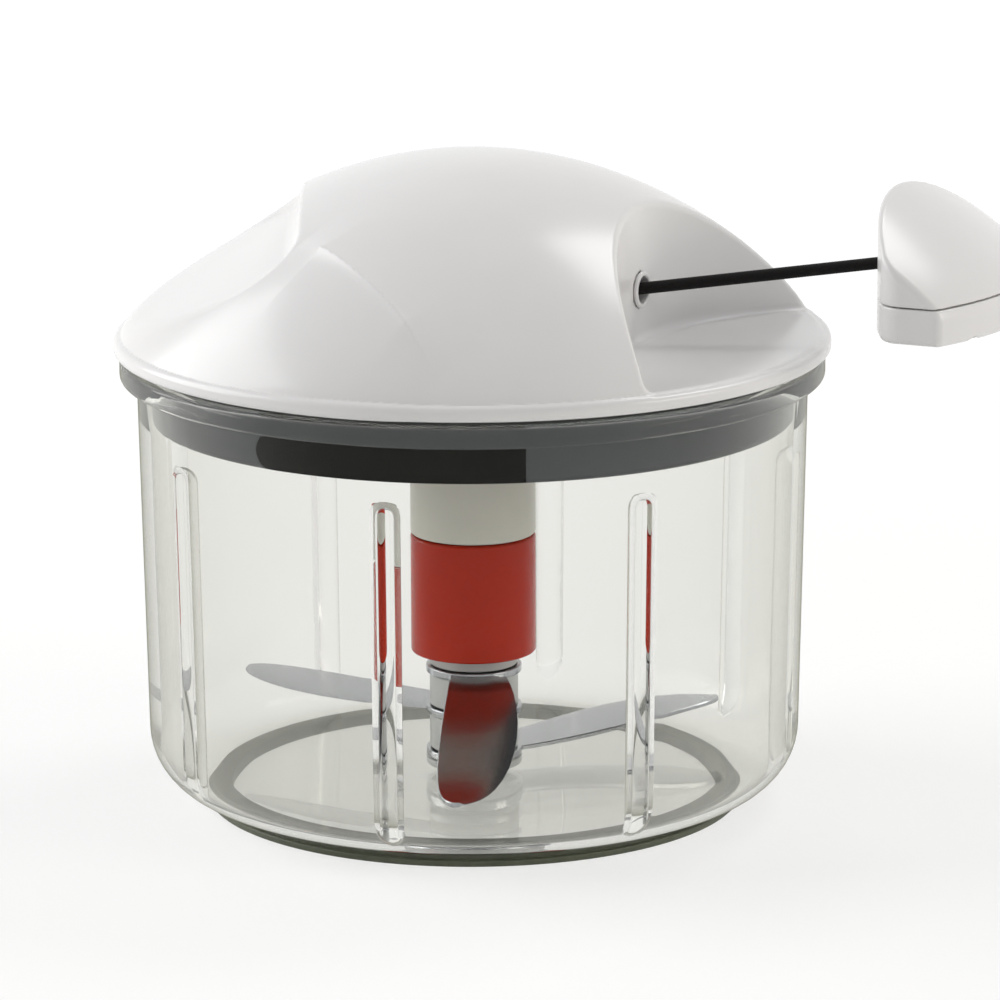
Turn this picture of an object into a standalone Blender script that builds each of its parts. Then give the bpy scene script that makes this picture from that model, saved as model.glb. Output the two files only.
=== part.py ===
"""Manual food chopper: a clear bowl, a domed lid with a pull-cord drive, and a three-blade unit.

The frame stands on the table: the origin is on the table under the bowl's axis, +Z is up, +X points to
the side that the handle is pulled out to, and -Y is the front. All lengths are in metres.
"""

import math

import bmesh
import bpy
from mathutils import Matrix, Vector

# General clearances and facet counts
SEAT_GAP = 0.0003
RUNNING_GAP = 0.0004
CUT_OVERRUN = 0.002
WELD_DISTANCE = 0.00001
MILLIMETRE = 0.001
CUTTER_REACH_SHARE = 1.25
LARGE_SIDES = 48
MEDIUM_SIDES = 24
SMALL_SIDES = 14
TINY_SIDES = 8
SMOOTH_ANGLE = math.radians(35)

# Bowl
BOWL_HEIGHT = 0.1008
BOWL_RADIUS = 0.0742
BOWL_WALL = 0.0022
BOWL_FLOOR = 0.0028
WALL_DRAFT = 0.02
FOOT_INSET = 0.0142
LIP_REACH = 0.0039
LIP_HEIGHT = 0.0046
LIP_ROUND = 0.0009
INNER_CORNER = 0.0110
FLOOR_BOSS_RADIUS = 0.0060
FLOOR_BOSS_HEIGHT = 0.0025
RIB_COUNT = 8
RIB_RADIUS = 0.00335
RIB_TOP_DROP = 0.0176
FIRST_RIB_ANGLE = math.radians(-90 - 60)
CORNER_STEPS = 4

# Foot ring
FOOT_PROUD = 0.0010
FOOT_RING_HEIGHT = 0.0024
FOOT_RING_WIDTH = 0.0044
FOOT_LAND = 0.0010

# Pivot pin
PIN_RADIUS = 0.0025
PIN_HEIGHT = 0.0240
PIN_ROOT_DEPTH = 0.0040

# Lid seal
SEAL_THICKNESS = 0.0013
SEAL_INSET = 0.0005
SEAL_OUTSET = 0.0011

# Lid frame
FLANGE_THICKNESS = 0.0018
FRAME_DEPTH = 0.0174
FRAME_WALL = 0.0020
FRAME_PLATE = 0.0022
SKIRT_CLEARANCE = 0.0006
SKIRT_EDGE_ROUND = 0.0015
INLAY_THICKNESS = 0.0006
INLAY_HEIGHT = 0.0080
INLAY_TOP_DROP = 0.0030
INLAY_START_ANGLE = math.radians(-90 - 40)
INLAY_END_ANGLE = math.radians(-90 + 9)
INLAY_STEPS = 9

# Lid cover
LID_OVERHANG = 0.0019
COVER_WALL = 0.0022
RIM_EDGE_HEIGHT = 0.0006
RIM_BAND_WIDTH = 0.0065
RIM_BAND_HEIGHT = 0.0052
DOME_EDGE_INSET = 0.0050
DOME_RISE = 0.0020
DOME_HEIGHT = 0.0400
DOME_FULLNESS = 0.7
DOME_STEPS = 10
BAND_STEPS = 3
BAND_JOIN_SHARE = 0.33

# Handle notch in the lid cover, on the right at the front
NOTCH_FLOOR_RISE = 0.0053
NOTCH_WALL_INSET = 0.0410
NOTCH_WALL_Y = -0.0120
NOTCH_WALL_LEAN = math.radians(7.8)
NOTCH_BACK_Y = 0.0090
NOTCH_CORNER = 0.0110
NOTCH_FILLET = 0.0070
FILLET_STEPS = 3

# Finger scoop in the lid cover, on the left
SCOOP_WALL_INSET = 0.0420
SCOOP_HALF_WIDTH = 0.0400
SCOOP_CORNER = 0.0130
SCOOP_FLOOR_RISE = 0.0251
SCOOP_SLOPE = math.radians(26.8)
SCOOP_FILLET = 0.0040

# Cord
CORD_RADIUS = 0.00135
PULL_ANGLE = math.radians(6.0)
PULLED_OUT = 0.0550
FULL_PULL = 0.3400
CORD_STEP = 0.0068
KNOT_RADIUS = 0.0034
KNOT_LENGTH = 0.0070

# Cord drum and its winding
WINDING_RADIUS = 0.0150
WINDING_TURNS = 3.25
WINDING_CLEARANCE = 0.0006
WINDING_POINTS_PER_TURN = 24
DRUM_FLANGE_RADIUS = 0.0200
DRUM_FLANGE = 0.0015
DRUM_MARGIN = 0.0006
DRUM_COVER_GAP = 0.0009
ARBOR_RADIUS = 0.0085

# Spindle and bushes
SPINDLE_RADIUS = 0.0040
SPINDLE_SOCKET_DEPTH = 0.0110
BUSH_WALL = 0.0022
LOWER_BOSS_HEIGHT = 0.0022
BOSS_WALL = 0.0025
UPPER_BUSH_LENGTH = 0.0068
UPPER_BOSS_WALL = 0.0022
UPPER_BOSS_GAP = 0.0018
SPINDLE_TOP_GAP = 0.0010

# Recoil spring and its case
SPRING_CASE_RADIUS = 0.0272
SPRING_CASE_WALL = 0.0017
SPRING_STRIP = 0.0005
SPRING_WIDTH = 0.0060
SPRING_FLOOR_GAP = 0.0032
SPRING_ROOF_GAP = 0.0010
SPRING_TURNS = 5
SPRING_POINTS_PER_TURN = 18
SPRING_MARGIN = 0.0010
SPRING_COVER_THICKNESS = 0.0012
SPRING_COVER_BORDER = 0.0014

# Screws
SCREW_RADIUS = 0.0013
SCREW_HEAD_RADIUS = 0.0029
SCREW_HEAD_HEIGHT = 0.0018
SCREW_CROWN_SHARE = 0.8
SCREW_EDGE_SHARE = 0.33
SCREW_BITE = 0.0080
COVER_SCREW_BITE = 0.0060
SCREW_BOSS_RADIUS = 0.0045
COVER_BOSS_RADIUS = 0.0032
LID_SCREW_INSET = 0.0200
LID_SCREW_COUNT = 4
COVER_SCREW_COUNT = 3
LID_SCREW_START = math.radians(48)
COVER_SCREW_START = math.radians(30)

# Eyelet
EYELET_BORE = 0.0021
EYELET_WALL = 0.0007
EYELET_FLANGE_REACH = 0.0008
EYELET_FLANGE = 0.0007
EYELET_TAIL = 0.0014

# Handle
HANDLE_CLEARANCE = 0.0015
HANDLE_FLOOR_CLEARANCE = 0.0010
HANDLE_RIM_INSET = 0.0085
HANDLE_FRONT_INSET = 0.0260
HANDLE_CORNER = 0.0065
KNOT_SPLIT_GAP = 0.0005
KNOT_POCKET_RADIUS = 0.0050
KNOT_POCKET_INSET = 0.0074
KNOT_POCKET_HEADROOM = 0.0043
FINGER_GROOVE_RADIUS = 0.0060
FINGER_GROOVE_INSET = 0.0185
FINGER_GROOVE_ANGLE = math.radians(-38)
HANDLE_SCREW_BITE = 0.0060
HANDLE_SCREW_SINK = 0.0034
FIRST_SCREW_WALL_GAP = 0.0066
FIRST_SCREW_KNOT_GAP = 0.0090
SECOND_SCREW_WALL_GAP = 0.0148
SECOND_SCREW_BACK_GAP = 0.0070

# Drive socket
SLEEVE_RADIUS = 0.0141
SOCKET_TOP_GAP = 0.0011
SOCKET_LENGTH = 0.0262
COUPLING_RADIUS = 0.0080
COUPLING_LENGTH = 0.0115
COUPLING_CLEARANCE = 0.0004
COUPLING_SIDES = 6

# Blade unit
HUB_CLEARANCE = 0.0008
HUB_FOOT_RADIUS = 0.0108
HUB_FOOT_HEIGHT = 0.0018
HUB_BUSH_WALL = 0.0014
HUB_BUSH_CAP = 0.0015
HUB_WALL = 0.0025
HUB_SHANK_SHARE = 0.535
SPACER_RADIUS = 0.0100
LOW_SPACER_HEIGHT = 0.0078
MID_SPACER_HEIGHT = 0.0072
TOP_SPACER_HEIGHT = 0.0026
BLADE_ROOT_RADIUS = 0.0108
BLADE_ROOT_THICKNESS = 0.0016
BLADE_THICKNESS = 0.0010
BLADE_INSET = 0.0090
BLADE_CHORD = 0.0170
BLADE_SWEEP = 0.0090
BLADE_BEVEL = 0.0030
BLADE_TIP_POWER = 8
BLADE_ROOT_WIDTH_SHARE = 0.72
LOW_BLADE_ANGLE = math.radians(35)
MID_BLADE_ANGLE = math.radians(155)
HIGH_BLADE_ANGLE = math.radians(-85)
LOW_BLADE_LIFT = 0.0040
MID_BLADE_LIFT = 0.0
HIGH_BLADE_LIFT = -0.0140
BLADE_STATION_SHARES = (0.0, 0.12, 0.3, 0.5, 0.7, 0.85, 0.94, 0.985)

# Heights, from the table up
BOWL_BOTTOM = FOOT_PROUD
BOWL_TOP = BOWL_BOTTOM + BOWL_HEIGHT
FLOOR_TOP = BOWL_BOTTOM + BOWL_FLOOR
FLOOR_BOSS_TOP = FLOOR_TOP + FLOOR_BOSS_HEIGHT
SEAL_BOTTOM = BOWL_TOP + SEAT_GAP
SEAL_TOP = SEAL_BOTTOM + SEAL_THICKNESS
FLANGE_BOTTOM = SEAL_TOP + SEAT_GAP
FLANGE_TOP = FLANGE_BOTTOM + FLANGE_THICKNESS
PLATE_BOTTOM = FLANGE_TOP - FRAME_DEPTH
PLATE_TOP = PLATE_BOTTOM + FRAME_PLATE
LID_EDGE = SEAL_TOP
RIM_PLANE = LID_EDGE + RIM_EDGE_HEIGHT
NOTCH_FLOOR = RIM_PLANE + NOTCH_FLOOR_RISE
LID_TOP = RIM_PLANE + DOME_RISE + DOME_HEIGHT
HANDLE_BOTTOM = NOTCH_FLOOR + HANDLE_FLOOR_CLEARANCE
SPRING_CASE_TOP = PLATE_TOP + SPRING_FLOOR_GAP + SPRING_WIDTH + SPRING_ROOF_GAP
SPRING_COVER_BOTTOM = SPRING_CASE_TOP + SEAT_GAP
DRUM_BOTTOM = SPRING_COVER_BOTTOM + SPRING_COVER_THICKNESS + DRUM_COVER_GAP
WINDING_PITCH = 2 * CORD_RADIUS + WINDING_CLEARANCE
CORD_HEIGHT = DRUM_BOTTOM + DRUM_FLANGE + DRUM_MARGIN + CORD_RADIUS + WINDING_TURNS * WINDING_PITCH

# Radii that follow from the bowl
BOWL_INNER_TOP = BOWL_RADIUS - BOWL_WALL
LIP_RADIUS = BOWL_RADIUS + LIP_REACH
LID_RADIUS = LIP_RADIUS + LID_OVERHANG
DOME_RADIUS = LID_RADIUS - DOME_EDGE_INSET
FOOT_RADIUS = BOWL_RADIUS - FOOT_INSET
BLADE_REACH = BOWL_INNER_TOP - BLADE_INSET
LID_SCREW_CIRCLE = LID_RADIUS - LID_SCREW_INSET
NOTCH_WALL_X = LID_RADIUS - NOTCH_WALL_INSET
SCOOP_WALL_X = SCOOP_WALL_INSET - LID_RADIUS
HANDLE_FRONT_Y = HANDLE_FRONT_INSET - LID_RADIUS
FINGER_GROOVE_REACH = LID_RADIUS - FINGER_GROOVE_INSET
SKIRT_RADIUS = BOWL_INNER_TOP - WALL_DRAFT * (BOWL_TOP - PLATE_BOTTOM) - SKIRT_CLEARANCE
FLANGE_RADIUS = LID_RADIUS - COVER_WALL - SKIRT_CLEARANCE * 2
BUSH_INNER = SPINDLE_RADIUS + RUNNING_GAP
LOWER_BUSH_OUTER = BUSH_INNER + BUSH_WALL
LOWER_BOSS_INNER = LOWER_BUSH_OUTER + SEAT_GAP
LOWER_BOSS_OUTER = LOWER_BOSS_INNER + BOSS_WALL

# Cord line: it leaves the drum at the front and runs to the right, rising by the pull angle
PULL_DIRECTION = Vector((math.cos(PULL_ANGLE), 0, math.sin(PULL_ANGLE)))
CORD_START = Vector((0, -WINDING_RADIUS, CORD_HEIGHT))
WALL_ALONG = Vector((math.sin(NOTCH_WALL_LEAN), math.cos(NOTCH_WALL_LEAN), 0))
WALL_NORMAL = Vector((math.cos(NOTCH_WALL_LEAN), -math.sin(NOTCH_WALL_LEAN), 0))


def clear_scene():
    """Removes what the scene holds before the part is built."""
    for obj in list(bpy.data.objects):
        bpy.data.objects.remove(obj, do_unlink=True)


def finish(name, colour, roughness, metallic=0.0, alpha=1.0):
    """A plain material with the colour, roughness and metallic value of one piece."""
    made = bpy.data.materials.new(name)
    made.use_nodes = True
    shader = made.node_tree.nodes["Principled BSDF"]
    shader.inputs["Base Color"].default_value = (*colour, 1.0)
    shader.inputs["Roughness"].default_value = roughness
    shader.inputs["Metallic"].default_value = metallic
    shader.inputs["Alpha"].default_value = alpha
    return made


def white_abs(name):
    """Glossy warm-white lid plastic."""
    return finish(name, (0.80, 0.80, 0.78), 0.22)


def grey_abs(name):
    """Dark grey satin plastic."""
    return finish(name, (0.12, 0.125, 0.13), 0.38)


def light_grey_abs(name):
    """Light grey satin plastic of the hub."""
    return finish(name, (0.55, 0.56, 0.56), 0.4)


def red_abs(name):
    """Red glossy plastic of the blade sleeve."""
    return finish(name, (0.45, 0.03, 0.015), 0.25)


def clear_san(name):
    """Clear moulded plastic of the bowl."""
    return finish(name, (0.93, 0.95, 0.95), 0.05, alpha=0.3)


def steel(name):
    """Stainless steel."""
    return finish(name, (0.62, 0.62, 0.63), 0.25, metallic=1.0)


def brass(name):
    """Bearing bronze."""
    return finish(name, (0.6, 0.42, 0.2), 0.35, metallic=1.0)


def dark_rubber(name):
    """Dark elastomer."""
    return finish(name, (0.03, 0.035, 0.03), 0.7)


def black_cord(name):
    """Black braided cord."""
    return finish(name, (0.012, 0.012, 0.012), 0.75)


def smooth(mesh):
    """Shades a mesh smooth, with its corners kept sharp."""
    mesh.shade_smooth()
    mesh.set_sharp_from_angle(angle=SMOOTH_ANGLE)


def link(name, mesh, look=None, seat=0.0):
    """Adds a mesh as an object whose origin lies on the Z axis at the height of its seat."""
    mesh.transform(Matrix.Translation((0, 0, -seat)))
    smooth(mesh)
    obj = bpy.data.objects.new(name, mesh)
    obj.location = (0, 0, seat)
    bpy.context.scene.collection.objects.link(obj)
    if look:
        mesh.materials.append(look)
    return obj


def mesh_from(bm, name):
    """Turns a bmesh into a mesh with outward faces."""
    bmesh.ops.recalc_face_normals(bm, faces=bm.faces[:])
    mesh = bpy.data.meshes.new(name)
    bm.to_mesh(mesh)
    bm.free()
    return mesh


def spun(bm, outline, sides, centre=(0, 0)):
    """Spins a closed outline of (radius, height) points about a vertical line into the bmesh."""
    x, y = centre
    verts = [bm.verts.new((x + r, y, z)) for r, z in outline]
    edges = [bm.edges.new(pair) for pair in zip(verts, verts[1:])]
    if outline[0][0] > 0 or outline[-1][0] > 0:
        edges.append(bm.edges.new((verts[-1], verts[0])))
    bmesh.ops.spin(
        bm,
        geom=verts + edges,
        cent=(x, y, 0),
        axis=(0, 0, 1),
        angle=math.tau,
        steps=sides,
        use_merge=True,
    )


def lathe_mesh(name, outline, sides, centres=((0, 0),)):
    """One turned body of the outline about each centre, all in one mesh."""
    bm = bmesh.new()
    for centre in centres:
        spun(bm, outline, sides, centre)
    bmesh.ops.remove_doubles(bm, verts=bm.verts[:], dist=WELD_DISTANCE)
    return mesh_from(bm, name)


def lathe(name, outline, sides, look=None, centres=((0, 0),)):
    """A turned piece, seated at the lowest point of its outline."""
    seat = min(z for _, z in outline)
    return link(name, lathe_mesh(name, outline, sides, centres), look, seat)


def aimed_lathe(name, outline, sides, start, direction, look=None):
    """A turned piece whose outline's zero point lies at a start, with its axis along a direction."""
    made = lathe(name, outline, sides, look)
    made.data.transform(Matrix.Translation((0, 0, min(z for _, z in outline))))
    turn = direction.to_track_quat("Z", "Y").to_matrix().to_4x4()
    made.matrix_world = Matrix.Translation(start) @ turn
    return made


def cylinder_outline(radius, low, high):
    """Outline of a plain solid cylinder."""
    return [(0, low), (radius, low), (radius, high), (0, high)]


def ring_outline(inner, outer, low, high):
    """Outline of a plain ring or tube."""
    return [(inner, low), (outer, low), (outer, high), (inner, high)]


def arc(centre, radii, start, end, steps):
    """Points of an elliptical arc in the (radius, height) plane, both ends included."""
    points = []
    for step in range(steps + 1):
        angle = start + (end - start) * step / steps
        points.append((centre[0] + radii[0] * math.cos(angle), centre[1] + radii[1] * math.sin(angle)))
    return points


def around(radius, count, start):
    """Centres spread evenly on a circle."""
    turns = (start + math.tau * place / count for place in range(count))
    return [(radius * math.cos(turn), radius * math.sin(turn)) for turn in turns]


def cut(target, cutter, operation="DIFFERENCE"):
    """Cuts, joins or trims a piece with a guide solid, which is kept out of the model."""
    boolean = target.modifiers.new(cutter.name, "BOOLEAN")
    boolean.operation = operation
    boolean.solver = "EXACT"
    boolean.object = cutter
    cutter.hide_render = True
    cutter.display_type = "WIRE"


def rounded_outline(corners, radii, steps):
    """A convex plan outline, anticlockwise, with each corner rounded by its radius."""
    points = []
    for place, corner in enumerate(corners):
        radius = radii[place]
        if not radius:
            points.append(tuple(corner))
            continue
        before = (Vector(corners[place - 1]) - Vector(corner)).normalized()
        after = (Vector(corners[(place + 1) % len(corners)]) - Vector(corner)).normalized()
        half = before.angle(after) / 2
        middle = Vector(corner) + (before + after).normalized() * radius / math.sin(half)
        first = Vector(corner) + before * radius / math.tan(half) - middle
        sweep = math.pi - 2 * half
        for step in range(steps + 1):
            turn = Matrix.Rotation(sweep * step / steps, 2)
            points.append(tuple(middle + turn @ first))
    return points


def prism(name, outline, low, high, fillet=0.0, look=None):
    """A solid over a plan outline, from a floor height that may follow x up to a flat top."""
    bm = bmesh.new()
    floor = [bm.verts.new((x, y, low(x))) for x, y in outline]
    roof = [bm.verts.new((x, y, high)) for x, y in outline]
    bm.faces.new(floor[::-1])
    bm.faces.new(roof)
    count = len(outline)
    for place in range(count):
        after = (place + 1) % count
        bm.faces.new((floor[place], floor[after], roof[after], roof[place]))
    if fillet:
        rim = [bm.edges.get((floor[place], floor[(place + 1) % count])) for place in range(count)]
        bmesh.ops.bevel(
            bm,
            geom=rim,
            offset=fillet,
            segments=FILLET_STEPS,
            profile=0.5,
            affect="EDGES",
            clamp_overlap=True,
        )
    return link(name, mesh_from(bm, name), look)


def bowl_wall_radius(height):
    """Outer radius of the bowl's drafted wall at a height."""
    return BOWL_RADIUS - WALL_DRAFT * (BOWL_TOP - height)


def bowl_outline():
    """Outer outline of the bowl as a solid: groove for the foot ring, corner, wall and lip."""
    groove_outer = FOOT_RADIUS - FOOT_LAND
    groove_inner = groove_outer - FOOT_RING_WIDTH - 2 * SEAT_GAP
    groove_top = FOOT_RING_HEIGHT + SEAT_GAP
    corner = bowl_wall_radius(BOWL_BOTTOM) - FOOT_RADIUS
    corner_centre = (bowl_wall_radius(BOWL_BOTTOM + corner) - corner, BOWL_BOTTOM + corner)
    lip_bottom = BOWL_TOP - LIP_HEIGHT
    points = [(0, BOWL_BOTTOM), (groove_inner, BOWL_BOTTOM), (groove_inner, groove_top)]
    points += [(groove_outer, groove_top), (groove_outer, BOWL_BOTTOM)]
    points += arc(corner_centre, (corner, corner), -math.pi / 2, 0, CORNER_STEPS)
    points += [(bowl_wall_radius(lip_bottom), lip_bottom), (LIP_RADIUS - LIP_ROUND, lip_bottom)]
    points += [(LIP_RADIUS, lip_bottom + LIP_ROUND), (LIP_RADIUS, BOWL_TOP - LIP_ROUND)]
    points += [(LIP_RADIUS - LIP_ROUND, BOWL_TOP), (0, BOWL_TOP)]
    return points


def bowl_void_outline():
    """Outline of the space inside the bowl, with the floor boss and its pin hole left standing."""
    hole = PIN_RADIUS + SEAT_GAP
    hole_bottom = FLOOR_BOSS_TOP - PIN_ROOT_DEPTH
    wall_foot = FLOOR_TOP + INNER_CORNER
    foot_radius = bowl_wall_radius(wall_foot) - BOWL_WALL
    centre = (foot_radius - INNER_CORNER, wall_foot)
    points = [(0, hole_bottom), (hole, hole_bottom), (hole, FLOOR_BOSS_TOP)]
    points += [(FLOOR_BOSS_RADIUS, FLOOR_BOSS_TOP), (FLOOR_BOSS_RADIUS, FLOOR_TOP)]
    points += arc(centre, (INNER_CORNER, INNER_CORNER), -math.pi / 2, 0, CORNER_STEPS)
    points += [(BOWL_INNER_TOP, BOWL_TOP), (BOWL_INNER_TOP, BOWL_TOP + CUT_OVERRUN)]
    points += [(0, BOWL_TOP + CUT_OVERRUN)]
    return points


def rib_solids():
    """Half-round ribs on the inside of the bowl wall, as solids that the void leaves standing."""
    bm = bmesh.new()
    top = BOWL_TOP - RIB_TOP_DROP
    middle = (top + FLOOR_TOP) / 2
    radius = bowl_wall_radius(middle) - BOWL_WALL
    lean = Matrix.Rotation(math.atan(WALL_DRAFT), 4, "Y")
    plan = arc((0, 0), (-RIB_RADIUS, RIB_RADIUS), -math.pi / 2, math.pi / 2, CORNER_STEPS)
    plan += [(BOWL_WALL, RIB_RADIUS), (BOWL_WALL, -RIB_RADIUS)]
    for place in range(RIB_COUNT):
        angle = FIRST_RIB_ANGLE + math.tau * place / RIB_COUNT
        stand = Matrix.Rotation(angle, 4, "Z") @ Matrix.Translation((radius, 0, middle)) @ lean
        rings = []
        for height in (BOWL_BOTTOM - middle, top - middle):
            rings.append([bm.verts.new(stand @ Vector((x, y, height))) for x, y in plan])
        bm.faces.new(rings[0][::-1])
        bm.faces.new(rings[1])
        for step in range(len(plan)):
            after = (step + 1) % len(plan)
            bm.faces.new((rings[0][step], rings[0][after], rings[1][after], rings[1][step]))
    return link("rib_guides", mesh_from(bm, "rib_guides"))


def build_bowl():
    """Clear bowl with its lip, ribs, thick floor and pin boss."""
    bowl = lathe("bowl", bowl_outline(), LARGE_SIDES, clear_san("bowl_clear"))
    void = lathe("bowl_void", bowl_void_outline(), LARGE_SIDES)
    cut(void, rib_solids())
    cut(bowl, void)


def build_foot_ring():
    """Anti-slip ring in the groove under the bowl."""
    outer = FOOT_RADIUS - FOOT_LAND - SEAT_GAP
    outline = ring_outline(outer - FOOT_RING_WIDTH, outer, 0, FOOT_RING_HEIGHT)
    lathe("foot_ring", outline, LARGE_SIDES, dark_rubber("foot_rubber"))


def build_pivot_pin():
    """Steel pin, pressed into the floor boss, with a domed top."""
    low = FLOOR_BOSS_TOP - PIN_ROOT_DEPTH + SEAT_GAP
    high = FLOOR_BOSS_TOP + PIN_HEIGHT
    shoulder = (0, high - PIN_RADIUS)
    outline = [(0, low), (PIN_RADIUS, low)]
    outline += arc(shoulder, (PIN_RADIUS, PIN_RADIUS), 0, math.pi / 2, FILLET_STEPS)
    outline[-1] = (0, high)
    lathe("pivot_pin", outline, SMALL_SIDES, steel("pin_steel"))


def build_lid_seal():
    """Thin seal ring between the bowl's lip and the lid frame's flange."""
    inner = BOWL_INNER_TOP + SEAL_INSET
    outline = ring_outline(inner, LIP_RADIUS - SEAL_OUTSET, SEAL_BOTTOM, SEAL_TOP)
    lathe("lid_seal", outline, LARGE_SIDES, dark_rubber("seal_rubber"))


def arc_plate(name, inner, outer, low, high, start, end, look=None):
    """A plate bent about the Z axis between two angles."""
    bm = bmesh.new()
    rings = []
    for step in range(INLAY_STEPS + 1):
        angle = start + (end - start) * step / INLAY_STEPS
        way = (math.cos(angle), math.sin(angle))
        corners = ring_outline(inner, outer, low, high)
        rings.append([bm.verts.new((r * way[0], r * way[1], z)) for r, z in corners])
    for one, two in zip(rings, rings[1:]):
        for place in range(4):
            after = (place + 1) % 4
            bm.faces.new((one[place], one[after], two[after], two[place]))
    bm.faces.new(rings[0])
    bm.faces.new(rings[-1][::-1])
    return link(name, mesh_from(bm, name), look)


def inlay_span():
    """Lowest and highest point of the skirt inlay."""
    high = BOWL_TOP - INLAY_TOP_DROP
    return high - INLAY_HEIGHT, high


def build_skirt_inlay():
    """Dark bare strip let into the front of the skirt."""
    low, high = inlay_span()
    outer = SKIRT_RADIUS
    inner = outer - INLAY_THICKNESS
    look = finish("inlay_dark", (0.02, 0.02, 0.018), 0.3)
    arc_plate("skirt_inlay", inner, outer, low, high, INLAY_START_ANGLE, INLAY_END_ANGLE, look)


def inlay_pocket():
    """Pocket in the skirt that the inlay lies in."""
    low, high = inlay_span()
    inner = SKIRT_RADIUS - INLAY_THICKNESS - SEAT_GAP
    outer = SKIRT_RADIUS + CUT_OVERRUN
    margin = SEAT_GAP / SKIRT_RADIUS
    span = (low - SEAT_GAP, high + SEAT_GAP)
    angles = (INLAY_START_ANGLE - margin, INLAY_END_ANGLE + margin)
    return arc_plate("inlay_pocket", inner, outer, *span, *angles)


def frame_outline():
    """Turned outline of the lid frame: plate, skirt, flange, spring case and bush boss."""
    case_inner = SPRING_CASE_RADIUS - SPRING_CASE_WALL
    case_top = SPRING_CASE_TOP
    boss_top = PLATE_TOP + LOWER_BOSS_HEIGHT
    skirt_inner = SKIRT_RADIUS - FRAME_WALL
    points = [(LOWER_BOSS_INNER, PLATE_BOTTOM), (SKIRT_RADIUS - SKIRT_EDGE_ROUND, PLATE_BOTTOM)]
    points += [(SKIRT_RADIUS, PLATE_BOTTOM + SKIRT_EDGE_ROUND), (SKIRT_RADIUS, FLANGE_BOTTOM)]
    points += [(FLANGE_RADIUS, FLANGE_BOTTOM), (FLANGE_RADIUS, FLANGE_TOP)]
    points += [(skirt_inner, FLANGE_TOP), (skirt_inner, PLATE_TOP)]
    points += [(SPRING_CASE_RADIUS, PLATE_TOP), (SPRING_CASE_RADIUS, case_top)]
    points += [(case_inner, case_top), (case_inner, PLATE_TOP)]
    points += [(LOWER_BOSS_OUTER, PLATE_TOP), (LOWER_BOSS_OUTER, boss_top), (LOWER_BOSS_INNER, boss_top)]
    return points


def cover_screw_circle():
    """Radius of the circle of the spring cover's screws, just outside the case."""
    return SPRING_CASE_RADIUS + COVER_BOSS_RADIUS - SEAT_GAP


def build_lid_frame():
    """Dark grey frame that closes the lid from below and dips into the bowl."""
    frame = lathe("lid_frame", frame_outline(), LARGE_SIDES, grey_abs("frame_grey"))
    case_top = SPRING_CASE_TOP
    centres = around(cover_screw_circle(), COVER_SCREW_COUNT, COVER_SCREW_START)
    bosses = cylinder_outline(COVER_BOSS_RADIUS, PLATE_TOP - FRAME_PLATE / 2, case_top)
    cut(frame, lathe("case_bosses", bosses, SMALL_SIDES, centres=centres), "UNION")
    hole = SCREW_RADIUS + SEAT_GAP
    blind = cylinder_outline(hole, case_top - COVER_SCREW_BITE, case_top + CUT_OVERRUN)
    cut(frame, lathe("case_screw_holes", blind, TINY_SIDES, centres=centres))
    through = cylinder_outline(hole, PLATE_BOTTOM - CUT_OVERRUN, PLATE_TOP + CUT_OVERRUN)
    corners = around(LID_SCREW_CIRCLE, LID_SCREW_COUNT, LID_SCREW_START)
    cut(frame, lathe("plate_screw_holes", through, TINY_SIDES, centres=corners))
    cut(frame, inlay_pocket())


def dome_height(radius):
    """Height of the dome's outer face at a radius."""
    share = max(0.0, 1 - (radius / DOME_RADIUS) ** 2)
    return RIM_PLANE + DOME_RISE + DOME_HEIGHT * share**DOME_FULLNESS


def lid_profile():
    """Outer face of the lid from the top of the dome out to the rim's lower edge."""
    band_inner = LID_RADIUS - RIM_BAND_WIDTH
    join = band_inner + (DOME_RADIUS - band_inner) * BAND_JOIN_SHARE
    points = []
    for step in range(DOME_STEPS + 1):
        radius = join * math.sin(math.pi / 2 * step / DOME_STEPS)
        points.append((radius, dome_height(radius)))
    radii = (RIM_BAND_WIDTH, RIM_BAND_HEIGHT)
    start = math.acos((join - band_inner) / RIM_BAND_WIDTH)
    points += arc((band_inner, RIM_PLANE), radii, start, 0, BAND_STEPS)[1:]
    points.append((LID_RADIUS - RIM_EDGE_HEIGHT / 2, LID_EDGE))
    return points


def inset_profile(points, depth):
    """The same profile, moved inwards by a depth square to itself."""
    moved = []
    for place, (radius, height) in enumerate(points):
        before = Vector(points[max(place - 1, 0)])
        after = Vector(points[min(place + 1, len(points) - 1)])
        along = (after - before).normalized()
        inner = Vector((radius, height)) + Vector((along.y, -along.x)) * depth
        moved.append((max(inner.x, 0), inner.y))
    moved[0] = (0, points[0][1] - depth)
    return moved


def notch_outline(grow):
    """Plan of the handle notch, moved outwards by a distance."""
    base = Vector((NOTCH_WALL_X, NOTCH_WALL_Y, 0)) - WALL_NORMAL * grow
    back = NOTCH_BACK_Y + grow
    reach = LID_RADIUS * CUTTER_REACH_SHARE
    rear = base + WALL_ALONG * (back - base.y) / WALL_ALONG.y
    front = base + WALL_ALONG * (-reach - base.y) / WALL_ALONG.y
    corners = [(front.x, -reach), (reach, -reach), (reach, back), (rear.x, back)]
    return rounded_outline(corners, (0, 0, 0, NOTCH_CORNER + grow), CORNER_STEPS)


def notch_solid(name, grow):
    """The handle notch as a cutter, grown by a distance on its walls and floor."""
    fillet = NOTCH_FILLET + grow
    top = LID_TOP + CUT_OVERRUN
    return prism(name, notch_outline(grow), lambda x: NOTCH_FLOOR - grow, top, fillet)


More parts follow.
